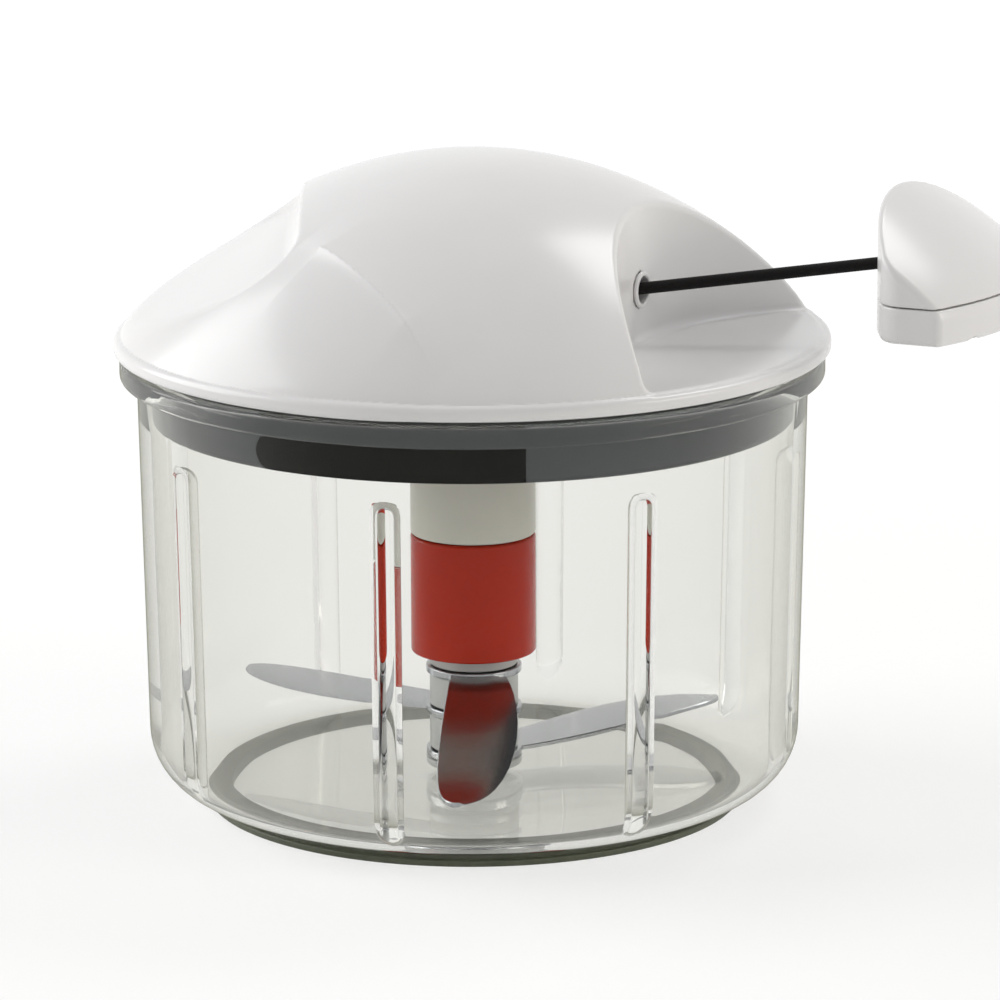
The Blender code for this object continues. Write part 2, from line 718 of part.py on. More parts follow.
def scoop_solid(name, grow):
    """The finger scoop as a cutter with a sloping floor, grown by a distance."""
    wall = SCOOP_WALL_X + grow
    half = SCOOP_HALF_WIDTH + grow
    reach = LID_RADIUS * CUTTER_REACH_SHARE
    corners = [(-reach, -half), (wall, -half), (wall, half), (-reach, half)]
    outline = rounded_outline(corners, (0, SCOOP_CORNER, SCOOP_CORNER, 0), CORNER_STEPS)
    start = RIM_PLANE + SCOOP_FLOOR_RISE - grow / math.cos(SCOOP_SLOPE)
    slope = math.tan(SCOOP_SLOPE)
    top = LID_TOP + CUT_OVERRUN
    return prism(name, outline, lambda x: start + (x - SCOOP_WALL_X) * slope, top, SCOOP_FILLET + grow)


def drum_heights():
    """Lower face, groove floor, groove roof and upper face of the cord drum."""
    run_out = math.sqrt(DRUM_FLANGE_RADIUS**2 - WINDING_RADIUS**2)
    groove_top = CORD_HEIGHT + CORD_RADIUS + run_out * math.tan(PULL_ANGLE) + DRUM_MARGIN
    return DRUM_BOTTOM, DRUM_BOTTOM + DRUM_FLANGE, groove_top, groove_top + DRUM_FLANGE


def upper_boss_span():
    """Lower end of the bearing boss under the dome, and the blind end of its bore."""
    low = drum_heights()[3] + UPPER_BOSS_GAP
    return low, low + UPPER_BUSH_LENGTH + SEAT_GAP + SPINDLE_TOP_GAP


def wall_crossing(depth):
    """Where the cord's line is at a depth below the outer face of the notch wall."""
    wall = Vector((NOTCH_WALL_X, NOTCH_WALL_Y, 0)) - WALL_NORMAL * depth
    travel = (wall - CORD_START).dot(WALL_NORMAL) / PULL_DIRECTION.dot(WALL_NORMAL)
    return CORD_START + PULL_DIRECTION * travel


def eyelet_centre():
    """Middle of the eyelet on the wall's outer face; its axis meets the cord in the wall."""
    depth = COVER_WALL / 2
    return wall_crossing(depth) + WALL_NORMAL * depth


def lid_void(void_outline, boss_centres):
    """The space inside the lid cover, with the walls round the notch, scoop and bosses left out."""
    void = lathe("lid_void", void_outline, LARGE_SIDES)
    cut(void, notch_solid("notch_walls", COVER_WALL))
    cut(void, scoop_solid("scoop_walls", COVER_WALL))
    pillars = cylinder_outline(SCREW_BOSS_RADIUS + SEAT_GAP, PLATE_BOTTOM, LID_TOP + CUT_OVERRUN)
    cut(void, lathe("boss_pillars", pillars, SMALL_SIDES, centres=boss_centres))
    boss_low = upper_boss_span()[0]
    boss_radius = BUSH_INNER + BUSH_WALL - BOSS_WALL + UPPER_BOSS_WALL + 2 * SEAT_GAP
    centre_boss = cylinder_outline(boss_radius + SEAT_GAP, boss_low, LID_TOP + CUT_OVERRUN)
    cut(void, lathe("bearing_pillar", centre_boss, MEDIUM_SIDES))
    return void


def build_lid_cover():
    """White domed lid with the handle notch, the finger scoop and its bosses inside."""
    profile = lid_profile()
    outline = profile + [(0, LID_EDGE)]
    cover = lathe("lid_cover", outline, LARGE_SIDES, white_abs("lid_white"))
    centres = around(LID_SCREW_CIRCLE, LID_SCREW_COUNT, LID_SCREW_START)
    boss_low = PLATE_TOP + SEAT_GAP
    bosses = cylinder_outline(SCREW_BOSS_RADIUS, boss_low, NOTCH_FLOOR - COVER_WALL / 2)
    cut(cover, lathe("cover_bosses", bosses, SMALL_SIDES, centres=centres), "UNION")
    cut(cover, notch_solid("notch", 0.0))
    cut(cover, scoop_solid("scoop", 0.0))
    inner = inset_profile(profile[:-1], COVER_WALL)
    inner.append((inner[-1][0], LID_EDGE - CUT_OVERRUN))
    inner.append((0, LID_EDGE - CUT_OVERRUN))
    cut(cover, lid_void(inner, centres))
    hole = SCREW_RADIUS + SEAT_GAP
    blind = cylinder_outline(hole, boss_low - CUT_OVERRUN, boss_low + SCREW_BITE)
    cut(cover, lathe("boss_holes", blind, TINY_SIDES, centres=centres))
    low, high = upper_boss_span()
    bore = cylinder_outline(BUSH_INNER + BUSH_WALL - SEAT_GAP, low - CUT_OVERRUN, high)
    cut(cover, lathe("bearing_bore", bore, MEDIUM_SIDES))
    reach = COVER_WALL + NOTCH_FILLET / 2
    passage = cylinder_outline(EYELET_BORE + EYELET_WALL + SEAT_GAP, -reach, reach)
    cut(cover, aimed_lathe("eyelet_hole", passage, SMALL_SIDES, eyelet_centre(), WALL_NORMAL))


def build_cord_eyelet():
    """Flanged eyelet in the notch wall, square to the wall."""
    outer = EYELET_BORE + EYELET_WALL
    flange = outer + EYELET_FLANGE_REACH
    tail = -COVER_WALL - EYELET_TAIL
    outline = [(EYELET_BORE, tail), (outer, tail), (outer, SEAT_GAP), (flange, SEAT_GAP)]
    outline += [(flange, SEAT_GAP + EYELET_FLANGE), (EYELET_BORE, SEAT_GAP + EYELET_FLANGE)]
    look = finish("eyelet_dark", (0.03, 0.03, 0.03), 0.35)
    aimed_lathe("cord_eyelet", outline, SMALL_SIDES, eyelet_centre(), WALL_NORMAL, look)


def screws(name, centres, seat, bite, up=True):
    """Pan-head screws, one object each: the head is below the seat if they go up, else above it."""
    way = 1 if up else -1
    head = seat - way * (SEAT_GAP + SCREW_HEAD_HEIGHT)
    neck = seat - way * SEAT_GAP
    tip = seat + way * (bite - SEAT_GAP)
    outline = [(0, head), (SCREW_HEAD_RADIUS * SCREW_CROWN_SHARE, head)]
    edge = head + way * SCREW_HEAD_HEIGHT * SCREW_EDGE_SHARE
    outline += [(SCREW_HEAD_RADIUS, edge), (SCREW_HEAD_RADIUS, neck)]
    outline += [(SCREW_RADIUS, neck), (SCREW_RADIUS, tip), (0, tip)]
    look = steel(name + "_steel")
    made = []
    for place, (x, y) in enumerate(centres, start=1):
        screw = lathe(f"{name}_{place}", outline, TINY_SIDES, look)
        screw.location.x = x
        screw.location.y = y
        made.append(screw)
    return made


def build_screws():
    """Screws of the lid frame and of the spring cover."""
    corners = around(LID_SCREW_CIRCLE, LID_SCREW_COUNT, LID_SCREW_START)
    screws("lid_screw", corners, PLATE_BOTTOM, FRAME_PLATE + SCREW_BITE)
    case_top = SPRING_CASE_TOP
    seat = case_top + SEAT_GAP + SPRING_COVER_THICKNESS
    places = around(cover_screw_circle(), COVER_SCREW_COUNT, COVER_SCREW_START)
    screws("cover_screw", places, seat, seat - case_top + COVER_SCREW_BITE - SEAT_GAP, up=False)


def build_spring_cover():
    """Disc that closes the spring case, screwed to the three bosses beside it."""
    low = SPRING_COVER_BOTTOM
    high = low + SPRING_COVER_THICKNESS
    border = cover_screw_circle() + COVER_BOSS_RADIUS + SPRING_COVER_BORDER
    outline = ring_outline(ARBOR_RADIUS + RUNNING_GAP, border, low, high)
    cover = lathe("spring_cover", outline, MEDIUM_SIDES, light_grey_abs("spring_cover_grey"))
    centres = around(cover_screw_circle(), COVER_SCREW_COUNT, COVER_SCREW_START)
    holes = cylinder_outline(SCREW_RADIUS + SEAT_GAP, low - CUT_OVERRUN, high + CUT_OVERRUN)
    cut(cover, lathe("cover_screw_holes", holes, TINY_SIDES, centres=centres))


def build_bushes():
    """The spindle's two bearings, in the frame's plate and under the dome."""
    low = PLATE_BOTTOM + SEAT_GAP
    high = PLATE_TOP + LOWER_BOSS_HEIGHT - SEAT_GAP
    outline = ring_outline(BUSH_INNER, LOWER_BUSH_OUTER, low, high)
    lathe("lower_bush", outline, SMALL_SIDES, brass("lower_bush_bronze"))
    start = upper_boss_span()[0] + SEAT_GAP
    upper = ring_outline(BUSH_INNER, BUSH_INNER + BUSH_WALL - 2 * SEAT_GAP, start, start + UPPER_BUSH_LENGTH)
    lathe("upper_bush", upper, SMALL_SIDES, brass("upper_bush_bronze"))


def socket_span():
    """Lower and upper end of the white drive socket."""
    high = PLATE_BOTTOM - SOCKET_TOP_GAP
    return high - SOCKET_LENGTH, high


def build_drive_spindle():
    """Steel spindle from the drive socket up through the drum into the upper bush."""
    low = socket_span()[1] - SPINDLE_SOCKET_DEPTH + SEAT_GAP
    high = upper_boss_span()[1] - SPINDLE_TOP_GAP
    lathe("drive_spindle", cylinder_outline(SPINDLE_RADIUS, low, high), SMALL_SIDES, steel("spindle_steel"))


def build_cord_drum():
    """Cord drum with its two flanges and the arbor that the recoil spring is fixed to."""
    bottom, groove_low, groove_high, top = drum_heights()
    arbor_low = PLATE_TOP + LOWER_BOSS_HEIGHT + RUNNING_GAP
    core = WINDING_RADIUS - CORD_RADIUS - SEAT_GAP
    bore = SPINDLE_RADIUS + SEAT_GAP
    outline = [(bore, arbor_low), (ARBOR_RADIUS, arbor_low), (ARBOR_RADIUS, bottom)]
    outline += [(DRUM_FLANGE_RADIUS, bottom), (DRUM_FLANGE_RADIUS, groove_low), (core, groove_low)]
    outline += [(core, groove_high), (DRUM_FLANGE_RADIUS, groove_high), (DRUM_FLANGE_RADIUS, top), (bore, top)]
    lathe("cord_drum", outline, MEDIUM_SIDES, light_grey_abs("drum_grey"))


def tube_along(name, points, look, resolution):
    """A round cord with filled ends along a list of points."""
    curve = bpy.data.curves.new(name, "CURVE")
    curve.dimensions = "3D"
    curve.bevel_depth = CORD_RADIUS
    curve.bevel_resolution = resolution
    curve.use_fill_caps = True
    spline = curve.splines.new("POLY")
    spline.points.add(len(points) - 1)
    for place, point in enumerate(points):
        spline.points[place].co = (*point, 1)
    curve.materials.append(look)
    obj = bpy.data.objects.new(name, curve)
    bpy.context.scene.collection.objects.link(obj)
    return obj


def winding_points():
    """Centre line of the turns on the drum, from the cord's way out down and back round."""
    count = math.ceil(WINDING_TURNS * WINDING_POINTS_PER_TURN)
    points = []
    for place in range(count + 1):
        turn = WINDING_TURNS * place / count
        angle = -math.pi / 2 - math.tau * turn
        way = Vector((math.cos(angle), math.sin(angle), 0))
        points.append(way * WINDING_RADIUS + Vector((0, 0, CORD_HEIGHT - turn * WINDING_PITCH)))
    tail = (points[-1] - points[-2]).normalized() * 2 * CORD_RADIUS
    return [CORD_START + PULL_DIRECTION * 2 * CORD_RADIUS, *points, points[-1] + tail]


def least_gap(points, thickness, apart):
    """Least clear distance between stretches of a line of points that lie some points apart."""
    least = min(
        (one - two).length
        for place, one in enumerate(points)
        for two in points[place + apart :]
    )
    return least - thickness


def build_cord_winding():
    """The turns of cord on the drum, one unbroken tube."""
    points = winding_points()
    gap = least_gap(points, 2 * CORD_RADIUS, WINDING_POINTS_PER_TURN // 2)
    print(f"cord_winding: least gap to itself {gap / MILLIMETRE:.2f} mm")
    tube_along("cord_winding", points, black_cord("winding_black"), 1)


def spring_points():
    """Radius and angle along the recoil spring, from the arbor out to the case."""
    inner = ARBOR_RADIUS + SPRING_MARGIN
    outer = SPRING_CASE_RADIUS - SPRING_CASE_WALL - SPRING_MARGIN
    count = SPRING_TURNS * SPRING_POINTS_PER_TURN
    for place in range(count + 1):
        yield inner + (outer - inner) * place / count, math.tau * SPRING_TURNS * place / count


def build_recoil_spring():
    """Flat spiral spring of steel strip round the drum's arbor."""
    low = PLATE_TOP + SPRING_FLOOR_GAP
    high = low + SPRING_WIDTH
    bm = bmesh.new()
    rings = []
    for radius, angle in spring_points():
        way = (math.cos(angle), math.sin(angle))
        corners = ring_outline(radius - SPRING_STRIP / 2, radius + SPRING_STRIP / 2, low, high)
        rings.append([bm.verts.new((r * way[0], r * way[1], z)) for r, z in corners])
    for one, two in zip(rings, rings[1:]):
        for place in range(4):
            after = (place + 1) % 4
            bm.faces.new((one[place], one[after], two[after], two[place]))
    bm.faces.new(rings[0])
    bm.faces.new(rings[-1][::-1])
    link("recoil_spring", mesh_from(bm, "recoil_spring"), steel("spring_steel"), low)


def hexagon(radius, low, high, name):
    """A six-sided solid on the Z axis."""
    outline = arc((0, 0), (radius, radius), 0, math.tau, COUPLING_SIDES)[:-1]
    return prism(name, outline, lambda x: low, high)


def build_drive_socket():
    """White sleeve under the lid with the six-sided socket that drives the blade unit."""
    low, high = socket_span()
    body = cylinder_outline(SLEEVE_RADIUS, low, high)
    socket = lathe("drive_socket", body, MEDIUM_SIDES, white_abs("socket_white"))
    key = COUPLING_RADIUS + COUPLING_CLEARANCE
    depth = COUPLING_LENGTH + COUPLING_CLEARANCE
    cut(socket, hexagon(key, low - CUT_OVERRUN, low + depth, "socket_key"))
    bore = cylinder_outline(SPINDLE_RADIUS + SEAT_GAP, high - SPINDLE_SOCKET_DEPTH, high + CUT_OVERRUN)
    cut(socket, lathe("socket_bore", bore, SMALL_SIDES))


def blade_stack():
    """Lower face of each blade root and spacer of the blade unit, from the hub's foot up."""
    foot = FLOOR_BOSS_TOP + HUB_CLEARANCE
    heights = {"foot": foot}
    level = foot + HUB_FOOT_HEIGHT + SEAT_GAP
    pieces = (
        ("blade_low", BLADE_ROOT_THICKNESS),
        ("hub_spacer_low", LOW_SPACER_HEIGHT),
        ("blade_mid", BLADE_ROOT_THICKNESS),
        ("hub_spacer_mid", MID_SPACER_HEIGHT),
        ("blade_high", BLADE_ROOT_THICKNESS),
        ("hub_spacer_top", TOP_SPACER_HEIGHT),
    )
    for name, height in pieces:
        heights[name] = level
        level += height + SEAT_GAP
    heights["blade_sleeve"] = level
    return heights


def hub_radius():
    """Outer radius of the hub's core, which carries the blades and spacers."""
    return PIN_RADIUS + RUNNING_GAP + HUB_BUSH_WALL + SEAT_GAP + HUB_WALL


def build_hub_bush():
    """Bearing bush of the blade unit, a cap that stands on the pin."""
    low = FLOOR_BOSS_TOP + HUB_CLEARANCE
    pin_top = FLOOR_BOSS_TOP + PIN_HEIGHT
    bore = PIN_RADIUS + RUNNING_GAP
    high = pin_top + SEAT_GAP
    outline = [(bore, low), (bore + HUB_BUSH_WALL, low), (bore + HUB_BUSH_WALL, high + HUB_BUSH_CAP)]
    outline += [(0, high + HUB_BUSH_CAP), (0, high), (bore, high)]
    lathe("hub_bush", outline[4:] + outline[:4], SMALL_SIDES, brass("hub_bush_bronze"))


def hub_shank():
    """How far the hub's core reaches up into the sleeve."""
    return HUB_SHANK_SHARE * (socket_span()[0] - SEAT_GAP - blade_stack()["blade_sleeve"])


def build_blade_hub():
    """Core of the blade unit: a foot flange, a bored shank for the blades and a solid top."""
    heights = blade_stack()
    low = heights["foot"]
    bore = PIN_RADIUS + RUNNING_GAP + HUB_BUSH_WALL + SEAT_GAP
    bore_top = FLOOR_BOSS_TOP + PIN_HEIGHT + 2 * SEAT_GAP + HUB_BUSH_CAP
    top = heights["blade_sleeve"] + hub_shank()
    outline = [(0, bore_top), (bore, bore_top), (bore, low), (HUB_FOOT_RADIUS, low)]
    outline += [(HUB_FOOT_RADIUS, low + HUB_FOOT_HEIGHT), (hub_radius(), low + HUB_FOOT_HEIGHT)]
    outline += [(hub_radius(), top), (0, top)]
    lathe("blade_hub", outline, MEDIUM_SIDES, light_grey_abs("hub_grey"))


def build_hub_spacers():
    """Light grey sections between the blades."""
    heights = blade_stack()
    sizes = {
        "hub_spacer_low": LOW_SPACER_HEIGHT,
        "hub_spacer_mid": MID_SPACER_HEIGHT,
        "hub_spacer_top": TOP_SPACER_HEIGHT,
    }
    for name, height in sizes.items():
        low = heights[name]
        outline = ring_outline(hub_radius() + SEAT_GAP, SPACER_RADIUS, low, low + height)
        lathe(name, outline, MEDIUM_SIDES, light_grey_abs(name + "_grey"))


def blade_section(share, lift):
    """Cross section of a blade at a share of its reach: five points (x, y, z)."""
    root = (hub_radius() + SEAT_GAP + BLADE_ROOT_RADIUS) / 2
    x = root + (BLADE_REACH - root) * share
    middle = -BLADE_SWEEP * share**2
    belly = BLADE_ROOT_WIDTH_SHARE + (1 - BLADE_ROOT_WIDTH_SHARE) * math.sin(math.pi * share)
    half = BLADE_CHORD / 2 * belly * math.sqrt(1 - share**BLADE_TIP_POWER)
    ease = share * share * (3 - 2 * share)
    bevel = min(BLADE_BEVEL, half)
    low = lift * ease
    high = low + BLADE_THICKNESS
    return [
        (x, middle - half, low),
        (x, middle + half - bevel, low),
        (x, middle + half, (low + high) / 2),
        (x, middle + half - bevel, high),
        (x, middle - half, high),
    ]


def build_blade(name, angle, lift):
    """A curved blade with one ground edge, on a ring that fits round the hub."""
    low = blade_stack()[name]
    outline = ring_outline(hub_radius() + SEAT_GAP, BLADE_ROOT_RADIUS, low, low + BLADE_ROOT_THICKNESS)
    blade = lathe(name, outline, MEDIUM_SIDES, steel(name + "_steel"))
    bm = bmesh.new()
    rings = [[bm.verts.new(point) for point in blade_section(share, lift)] for share in BLADE_STATION_SHARES]
    for one, two in zip(rings, rings[1:]):
        for place in range(5):
            after = (place + 1) % 5
            bm.faces.new((one[place], one[after], two[after], two[place]))
    bm.faces.new(rings[0])
    bm.faces.new(rings[-1][::-1])
    leaf = link(name + "_leaf", mesh_from(bm, name + "_leaf"))
    leaf.location = (0, 0, low + (BLADE_ROOT_THICKNESS - BLADE_THICKNESS) / 2)
    leaf.rotation_euler = (0, 0, angle)
    cut(blade, leaf, "UNION")


def build_blades():
    """The three blades, staggered in height and spread round the hub."""
    build_blade("blade_low", LOW_BLADE_ANGLE, LOW_BLADE_LIFT)
    build_blade("blade_mid", MID_BLADE_ANGLE, MID_BLADE_LIFT)
    build_blade("blade_high", HIGH_BLADE_ANGLE, HIGH_BLADE_LIFT)


def build_blade_sleeve():
    """Red sleeve over the hub's shank, with the six-sided key that enters the drive socket."""
    low = blade_stack()["blade_sleeve"]
    high = socket_span()[0] - SEAT_GAP
    bore = hub_radius() + SEAT_GAP
    bore_top = low + hub_shank() + SEAT_GAP
    outline = [(0, bore_top), (bore, bore_top), (bore, low), (SLEEVE_RADIUS, low)]
    outline += [(SLEEVE_RADIUS, high), (0, high)]
    sleeve = lathe("blade_sleeve", outline, MEDIUM_SIDES, red_abs("sleeve_red"))
    cut(sleeve, hexagon(COUPLING_RADIUS, high - CUT_OVERRUN, high + COUPLING_LENGTH, "sleeve_key"), "UNION")


def handle_entry():
    """Where the cord enters the docked handle's left face."""
    return wall_crossing(-HANDLE_CLEARANCE)


def knot_centre():
    """Middle of the knot in the docked handle."""
    return handle_entry() + PULL_DIRECTION * KNOT_POCKET_INSET


def handle_split():
    """Height of the joint between the docked handle's halves, just below the cord's stop."""
    return knot_centre().z - KNOT_RADIUS - KNOT_SPLIT_GAP


def handle_profile():
    """Turned outline that gives the handle its top face, flush with the dome when docked."""
    outer = LID_RADIUS - HANDLE_RIM_INSET
    points = []
    for step in range(DOME_STEPS + 1):
        radius = outer * math.sin(math.pi / 2 * step / DOME_STEPS)
        points.append((radius, dome_height(radius)))
    low = HANDLE_BOTTOM - CUT_OVERRUN
    return points + [(outer, low), (0, low)]


def handle_rear(y):
    """Where the docked handle's rear face stands along X at a place along Y."""
    base = Vector((NOTCH_WALL_X, NOTCH_WALL_Y, 0)) + WALL_NORMAL * HANDLE_CLEARANCE
    return base.x + (y - base.y) * math.tan(NOTCH_WALL_LEAN)


def handle_outline():
    """Plan of the docked handle: the notch less its clearance, with a rounded front end."""
    front = HANDLE_FRONT_Y
    back = NOTCH_BACK_Y - HANDLE_CLEARANCE
    corners = [(handle_rear(front), front), (LID_RADIUS, front), (LID_RADIUS, back), (handle_rear(back), back)]
    radii = (HANDLE_CORNER, 0, 0, NOTCH_CORNER - HANDLE_CLEARANCE)
    return rounded_outline(corners, radii, CORNER_STEPS)


def handle_half(name, low, high, look, fillet=0):
    """The stretch of the docked handle between two heights, rounded below where it is told to."""
    half = prism(name, handle_outline(), lambda x: low, high, fillet, look=look)
    body = lathe(name + "_body", handle_profile(), LARGE_SIDES)
    cut(half, body, "INTERSECT")
    return half


def finger_groove():
    """Groove under the handle that the fingers hook into, along the rim's chord."""
    reach = LID_RADIUS
    outline = cylinder_outline(FINGER_GROOVE_RADIUS, -reach, reach)
    out = Vector((math.cos(FINGER_GROOVE_ANGLE), math.sin(FINGER_GROOVE_ANGLE), 0))
    along = Vector((-out.y, out.x, 0))
    centre = out * FINGER_GROOVE_REACH + Vector((0, 0, HANDLE_BOTTOM))
    return aimed_lathe("finger_groove", outline, MEDIUM_SIDES, centre, along)


def handle_screw_places():
    """Plan places of the two screws of the docked handle."""
    front = knot_centre().y - FIRST_SCREW_KNOT_GAP
    back = NOTCH_BACK_Y - HANDLE_CLEARANCE - SECOND_SCREW_BACK_GAP
    first = (handle_rear(front) + FIRST_SCREW_WALL_GAP, front)
    return [first, (handle_rear(back) + SECOND_SCREW_WALL_GAP, back)]


def handle_inner_cutters(knot):
    """Pocket for the cord's stop, bore for the cord and blind screw holes of the handle's top."""
    hole = SCREW_RADIUS + SEAT_GAP
    low = handle_split() - CUT_OVERRUN
    pocket = cylinder_outline(KNOT_POCKET_RADIUS, low, knot.z + KNOT_POCKET_HEADROOM)
    bore = cylinder_outline(CORD_RADIUS + SEAT_GAP, -CUT_OVERRUN, KNOT_POCKET_INSET)
    blind = cylinder_outline(hole, low, handle_split() + SEAT_GAP + HANDLE_SCREW_BITE)
    return [
        lathe("knot_pocket", pocket, SMALL_SIDES, centres=[(knot.x, knot.y)]),
        aimed_lathe("cord_bore", bore, SMALL_SIDES, handle_entry(), PULL_DIRECTION),
        lathe("handle_blind_holes", blind, TINY_SIDES, centres=handle_screw_places()),
    ]


def handle_base_cutters():
    """Finger groove, screw holes and sinks for the screw heads of the handle's base."""
    hole = cylinder_outline(SCREW_RADIUS + SEAT_GAP, HANDLE_BOTTOM - CUT_OVERRUN, handle_split() + CUT_OVERRUN)
    sink_top = HANDLE_BOTTOM + HANDLE_SCREW_SINK
    sink = cylinder_outline(SCREW_HEAD_RADIUS + SEAT_GAP, HANDLE_BOTTOM - 2 * CUT_OVERRUN, sink_top)
    return [
        finger_groove(),
        lathe("handle_through_holes", hole, TINY_SIDES, centres=handle_screw_places()),
        lathe("handle_screw_sinks", sink, SMALL_SIDES, centres=handle_screw_places()),
    ]


def build_handle():
    """Pull handle in two halves with the cord's stop between them, moved out along the cord."""
    knot = knot_centre()
    top = handle_half("handle_top", handle_split() + SEAT_GAP, LID_TOP, white_abs("handle_white"))
    fillet = NOTCH_FILLET - HANDLE_CLEARANCE
    base = handle_half("handle_base", HANDLE_BOTTOM, handle_split(), white_abs("handle_base_white"), fillet)
    inner_cutters = handle_inner_cutters(knot)
    base_cutters = handle_base_cutters()
    for cutter in inner_cutters:
        cut(top, cutter)
    for cutter in base_cutters:
        cut(base, cutter)
    seat = HANDLE_BOTTOM + HANDLE_SCREW_SINK
    bite = handle_split() + HANDLE_SCREW_BITE - seat
    fasteners = screws("handle_screw", handle_screw_places(), seat, bite)
    stop = cord_stop(knot)
    line = bpy.data.objects.new("handle_line", None)
    bpy.context.scene.collection.objects.link(line)
    line.location = CORD_START + PULL_DIRECTION * PULLED_OUT
    bodies = [bpy.data.objects["handle_top_body"], bpy.data.objects["handle_base_body"]]
    for piece in [top, base, stop, *fasteners, *bodies, *inner_cutters, *base_cutters]:
        piece.parent = line
        piece.matrix_parent_inverse = Matrix.Translation(-CORD_START)


def cord_stop(knot):
    """Moulded stop on the cord's end, inside the handle."""
    outline = arc((0, 0), (KNOT_RADIUS, KNOT_LENGTH / 2), -math.pi / 2, math.pi / 2, CORNER_STEPS)
    outline[0] = (0, -KNOT_LENGTH / 2)
    outline[-1] = (0, KNOT_LENGTH / 2)
    return aimed_lathe("cord_knot", outline, SMALL_SIDES, knot, PULL_DIRECTION, black_cord("knot_black"))


def build_pull_cord():
    """The straight stretch of cord from the drum through the eyelet to the stop in the handle."""
    start = CORD_START + PULL_DIRECTION * (2 * CORD_RADIUS + SEAT_GAP)
    end = knot_centre() + PULL_DIRECTION * (PULLED_OUT - KNOT_LENGTH / 2 - SEAT_GAP)
    length = (end - start).length
    count = math.ceil(length / CORD_STEP)
    points = [start + (end - start) * place / count for place in range(count + 1)]
    tube_along("pull_cord", points, black_cord("cord_black"), 2)


def build():
    """Builds every piece of the chopper."""
    clear_scene()
    build_bowl()
    build_foot_ring()
    build_pivot_pin()
    build_lid_seal()
    build_lid_frame()
    build_skirt_inlay()
    build_lid_cover()
    build_cord_eyelet()
    build_screws()
    build_spring_cover()
    build_bushes()
    build_drive_spindle()
    build_cord_drum()
    build_cord_winding()
    build_recoil_spring()
    build_drive_socket()
    build_hub_bush()
    build_blade_hub()
    build_hub_spacers()
    build_blades()
    build_blade_sleeve()
    build_handle()
    build_pull_cord()


build()
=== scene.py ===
"""Looks of a manual food chopper: a clear ribbed bowl, a domed lid with a pull cord, and a blade unit.

All sizes are in millimetres in the row frame (origin on the table under the bowl's axis, +Z up, +X towards
the side that the handle is pulled out to, -Y the front). Meshes are built in metres.
"""

import logging
import math
from abc import ABC, abstractmethod
from dataclasses import dataclass, field
from enum import Enum
from typing import Callable, Iterable, Sequence

import bmesh
import bpy
import numpy as np
from mathutils import Matrix, Vector


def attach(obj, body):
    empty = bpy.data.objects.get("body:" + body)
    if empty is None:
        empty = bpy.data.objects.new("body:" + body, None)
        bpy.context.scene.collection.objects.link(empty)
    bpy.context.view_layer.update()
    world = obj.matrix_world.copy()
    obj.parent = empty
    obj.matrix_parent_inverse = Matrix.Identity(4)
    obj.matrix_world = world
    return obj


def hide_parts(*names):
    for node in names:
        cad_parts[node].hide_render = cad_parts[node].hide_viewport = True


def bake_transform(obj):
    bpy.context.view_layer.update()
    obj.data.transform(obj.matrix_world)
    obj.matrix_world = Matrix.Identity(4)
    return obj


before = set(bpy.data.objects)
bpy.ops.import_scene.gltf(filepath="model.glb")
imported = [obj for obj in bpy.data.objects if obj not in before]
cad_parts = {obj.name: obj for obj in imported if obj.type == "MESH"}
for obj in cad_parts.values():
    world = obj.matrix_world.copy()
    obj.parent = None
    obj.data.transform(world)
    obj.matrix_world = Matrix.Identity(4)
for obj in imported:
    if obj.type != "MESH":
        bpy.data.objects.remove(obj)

LOG = logging.getLogger("food_chopper")
MM = 0.001
QUARTER = math.pi / 2
# Radii below this many millimetres lie on the axis
ON_AXIS = 1e-6
# Degrees from which an edge of a plain piece stays sharp
SHARP_ANGLE = 32.0
# Most of an edge that one fillet may take, so that two fillets never meet
FILLET_SHARE = 0.49
# Sides of the key that couples the blade unit to the drive
KEY_SIDES = 6
# The grid's three directions
UNITS = np.eye(3, dtype=int)

Outline = list[tuple[float, float]]
Corner = tuple[float, float, float]
Place = tuple[float, float, float]
Section = Callable[[float, float], float]
Field = Callable[[np.ndarray], np.ndarray]
Socket = bpy.types.NodeSocket
Tree = bpy.types.NodeTree


# Helpers for colours, nodes and meshes


def linear(hex_colour: str) -> tuple[float, float, float, float]:
    """Turn an sRGB hex colour into linear RGBA.

    Args:
        hex_colour: Six hex digits, with or without a leading hash sign.

    Returns:
        The linear red, green, blue and an alpha of 1.
    """
    digits = hex_colour.lstrip("#")
    channels = (int(digits[place : place + 2], 16) / 255 for place in (0, 2, 4))
    values = [c / 12.92 if c <= 0.04045 else ((c + 0.055) / 1.055) ** 2.4 for c in channels]
    return (values[0], values[1], values[2], 1.0)


def add_node(
    tree: Tree,
    kind: str,
    settings: dict[str, object] | None = None,
    links: dict[str | int, Socket] | None = None,
) -> bpy.types.Node:
    """Add one node with its settings and its incoming links.

    Args:
        tree: Node tree that gets the node.
        kind: Blender's name for the node type.
        settings: Property names or input names, with their values.
        links: Input names or numbers, with the sockets that feed them.

    Returns:
        The new node.
    """
    node = tree.nodes.new(kind)
    for name, value in (settings or {}).items():
        if hasattr(node, name):
            setattr(node, name, value)
        else:
            node.inputs[name].default_value = value
    for name, socket in (links or {}).items():
        tree.links.new(socket, node.inputs[name])
    return node


def per_metre(size_mm: float) -> float:
    """Texture scale that gives a pattern of about this size in object space."""
    return 1.0 / (size_mm * MM)


def aimed(place: Sequence[float], way: Sequence[float], forward: str = "Z") -> Matrix:
    """Matrix that carries something to a place in metres, with its forward axis along a way."""
    turn = Vector(way).to_track_quat(forward, "Y").to_matrix().to_4x4()
    return Matrix.Translation(Vector(place)) @ turn


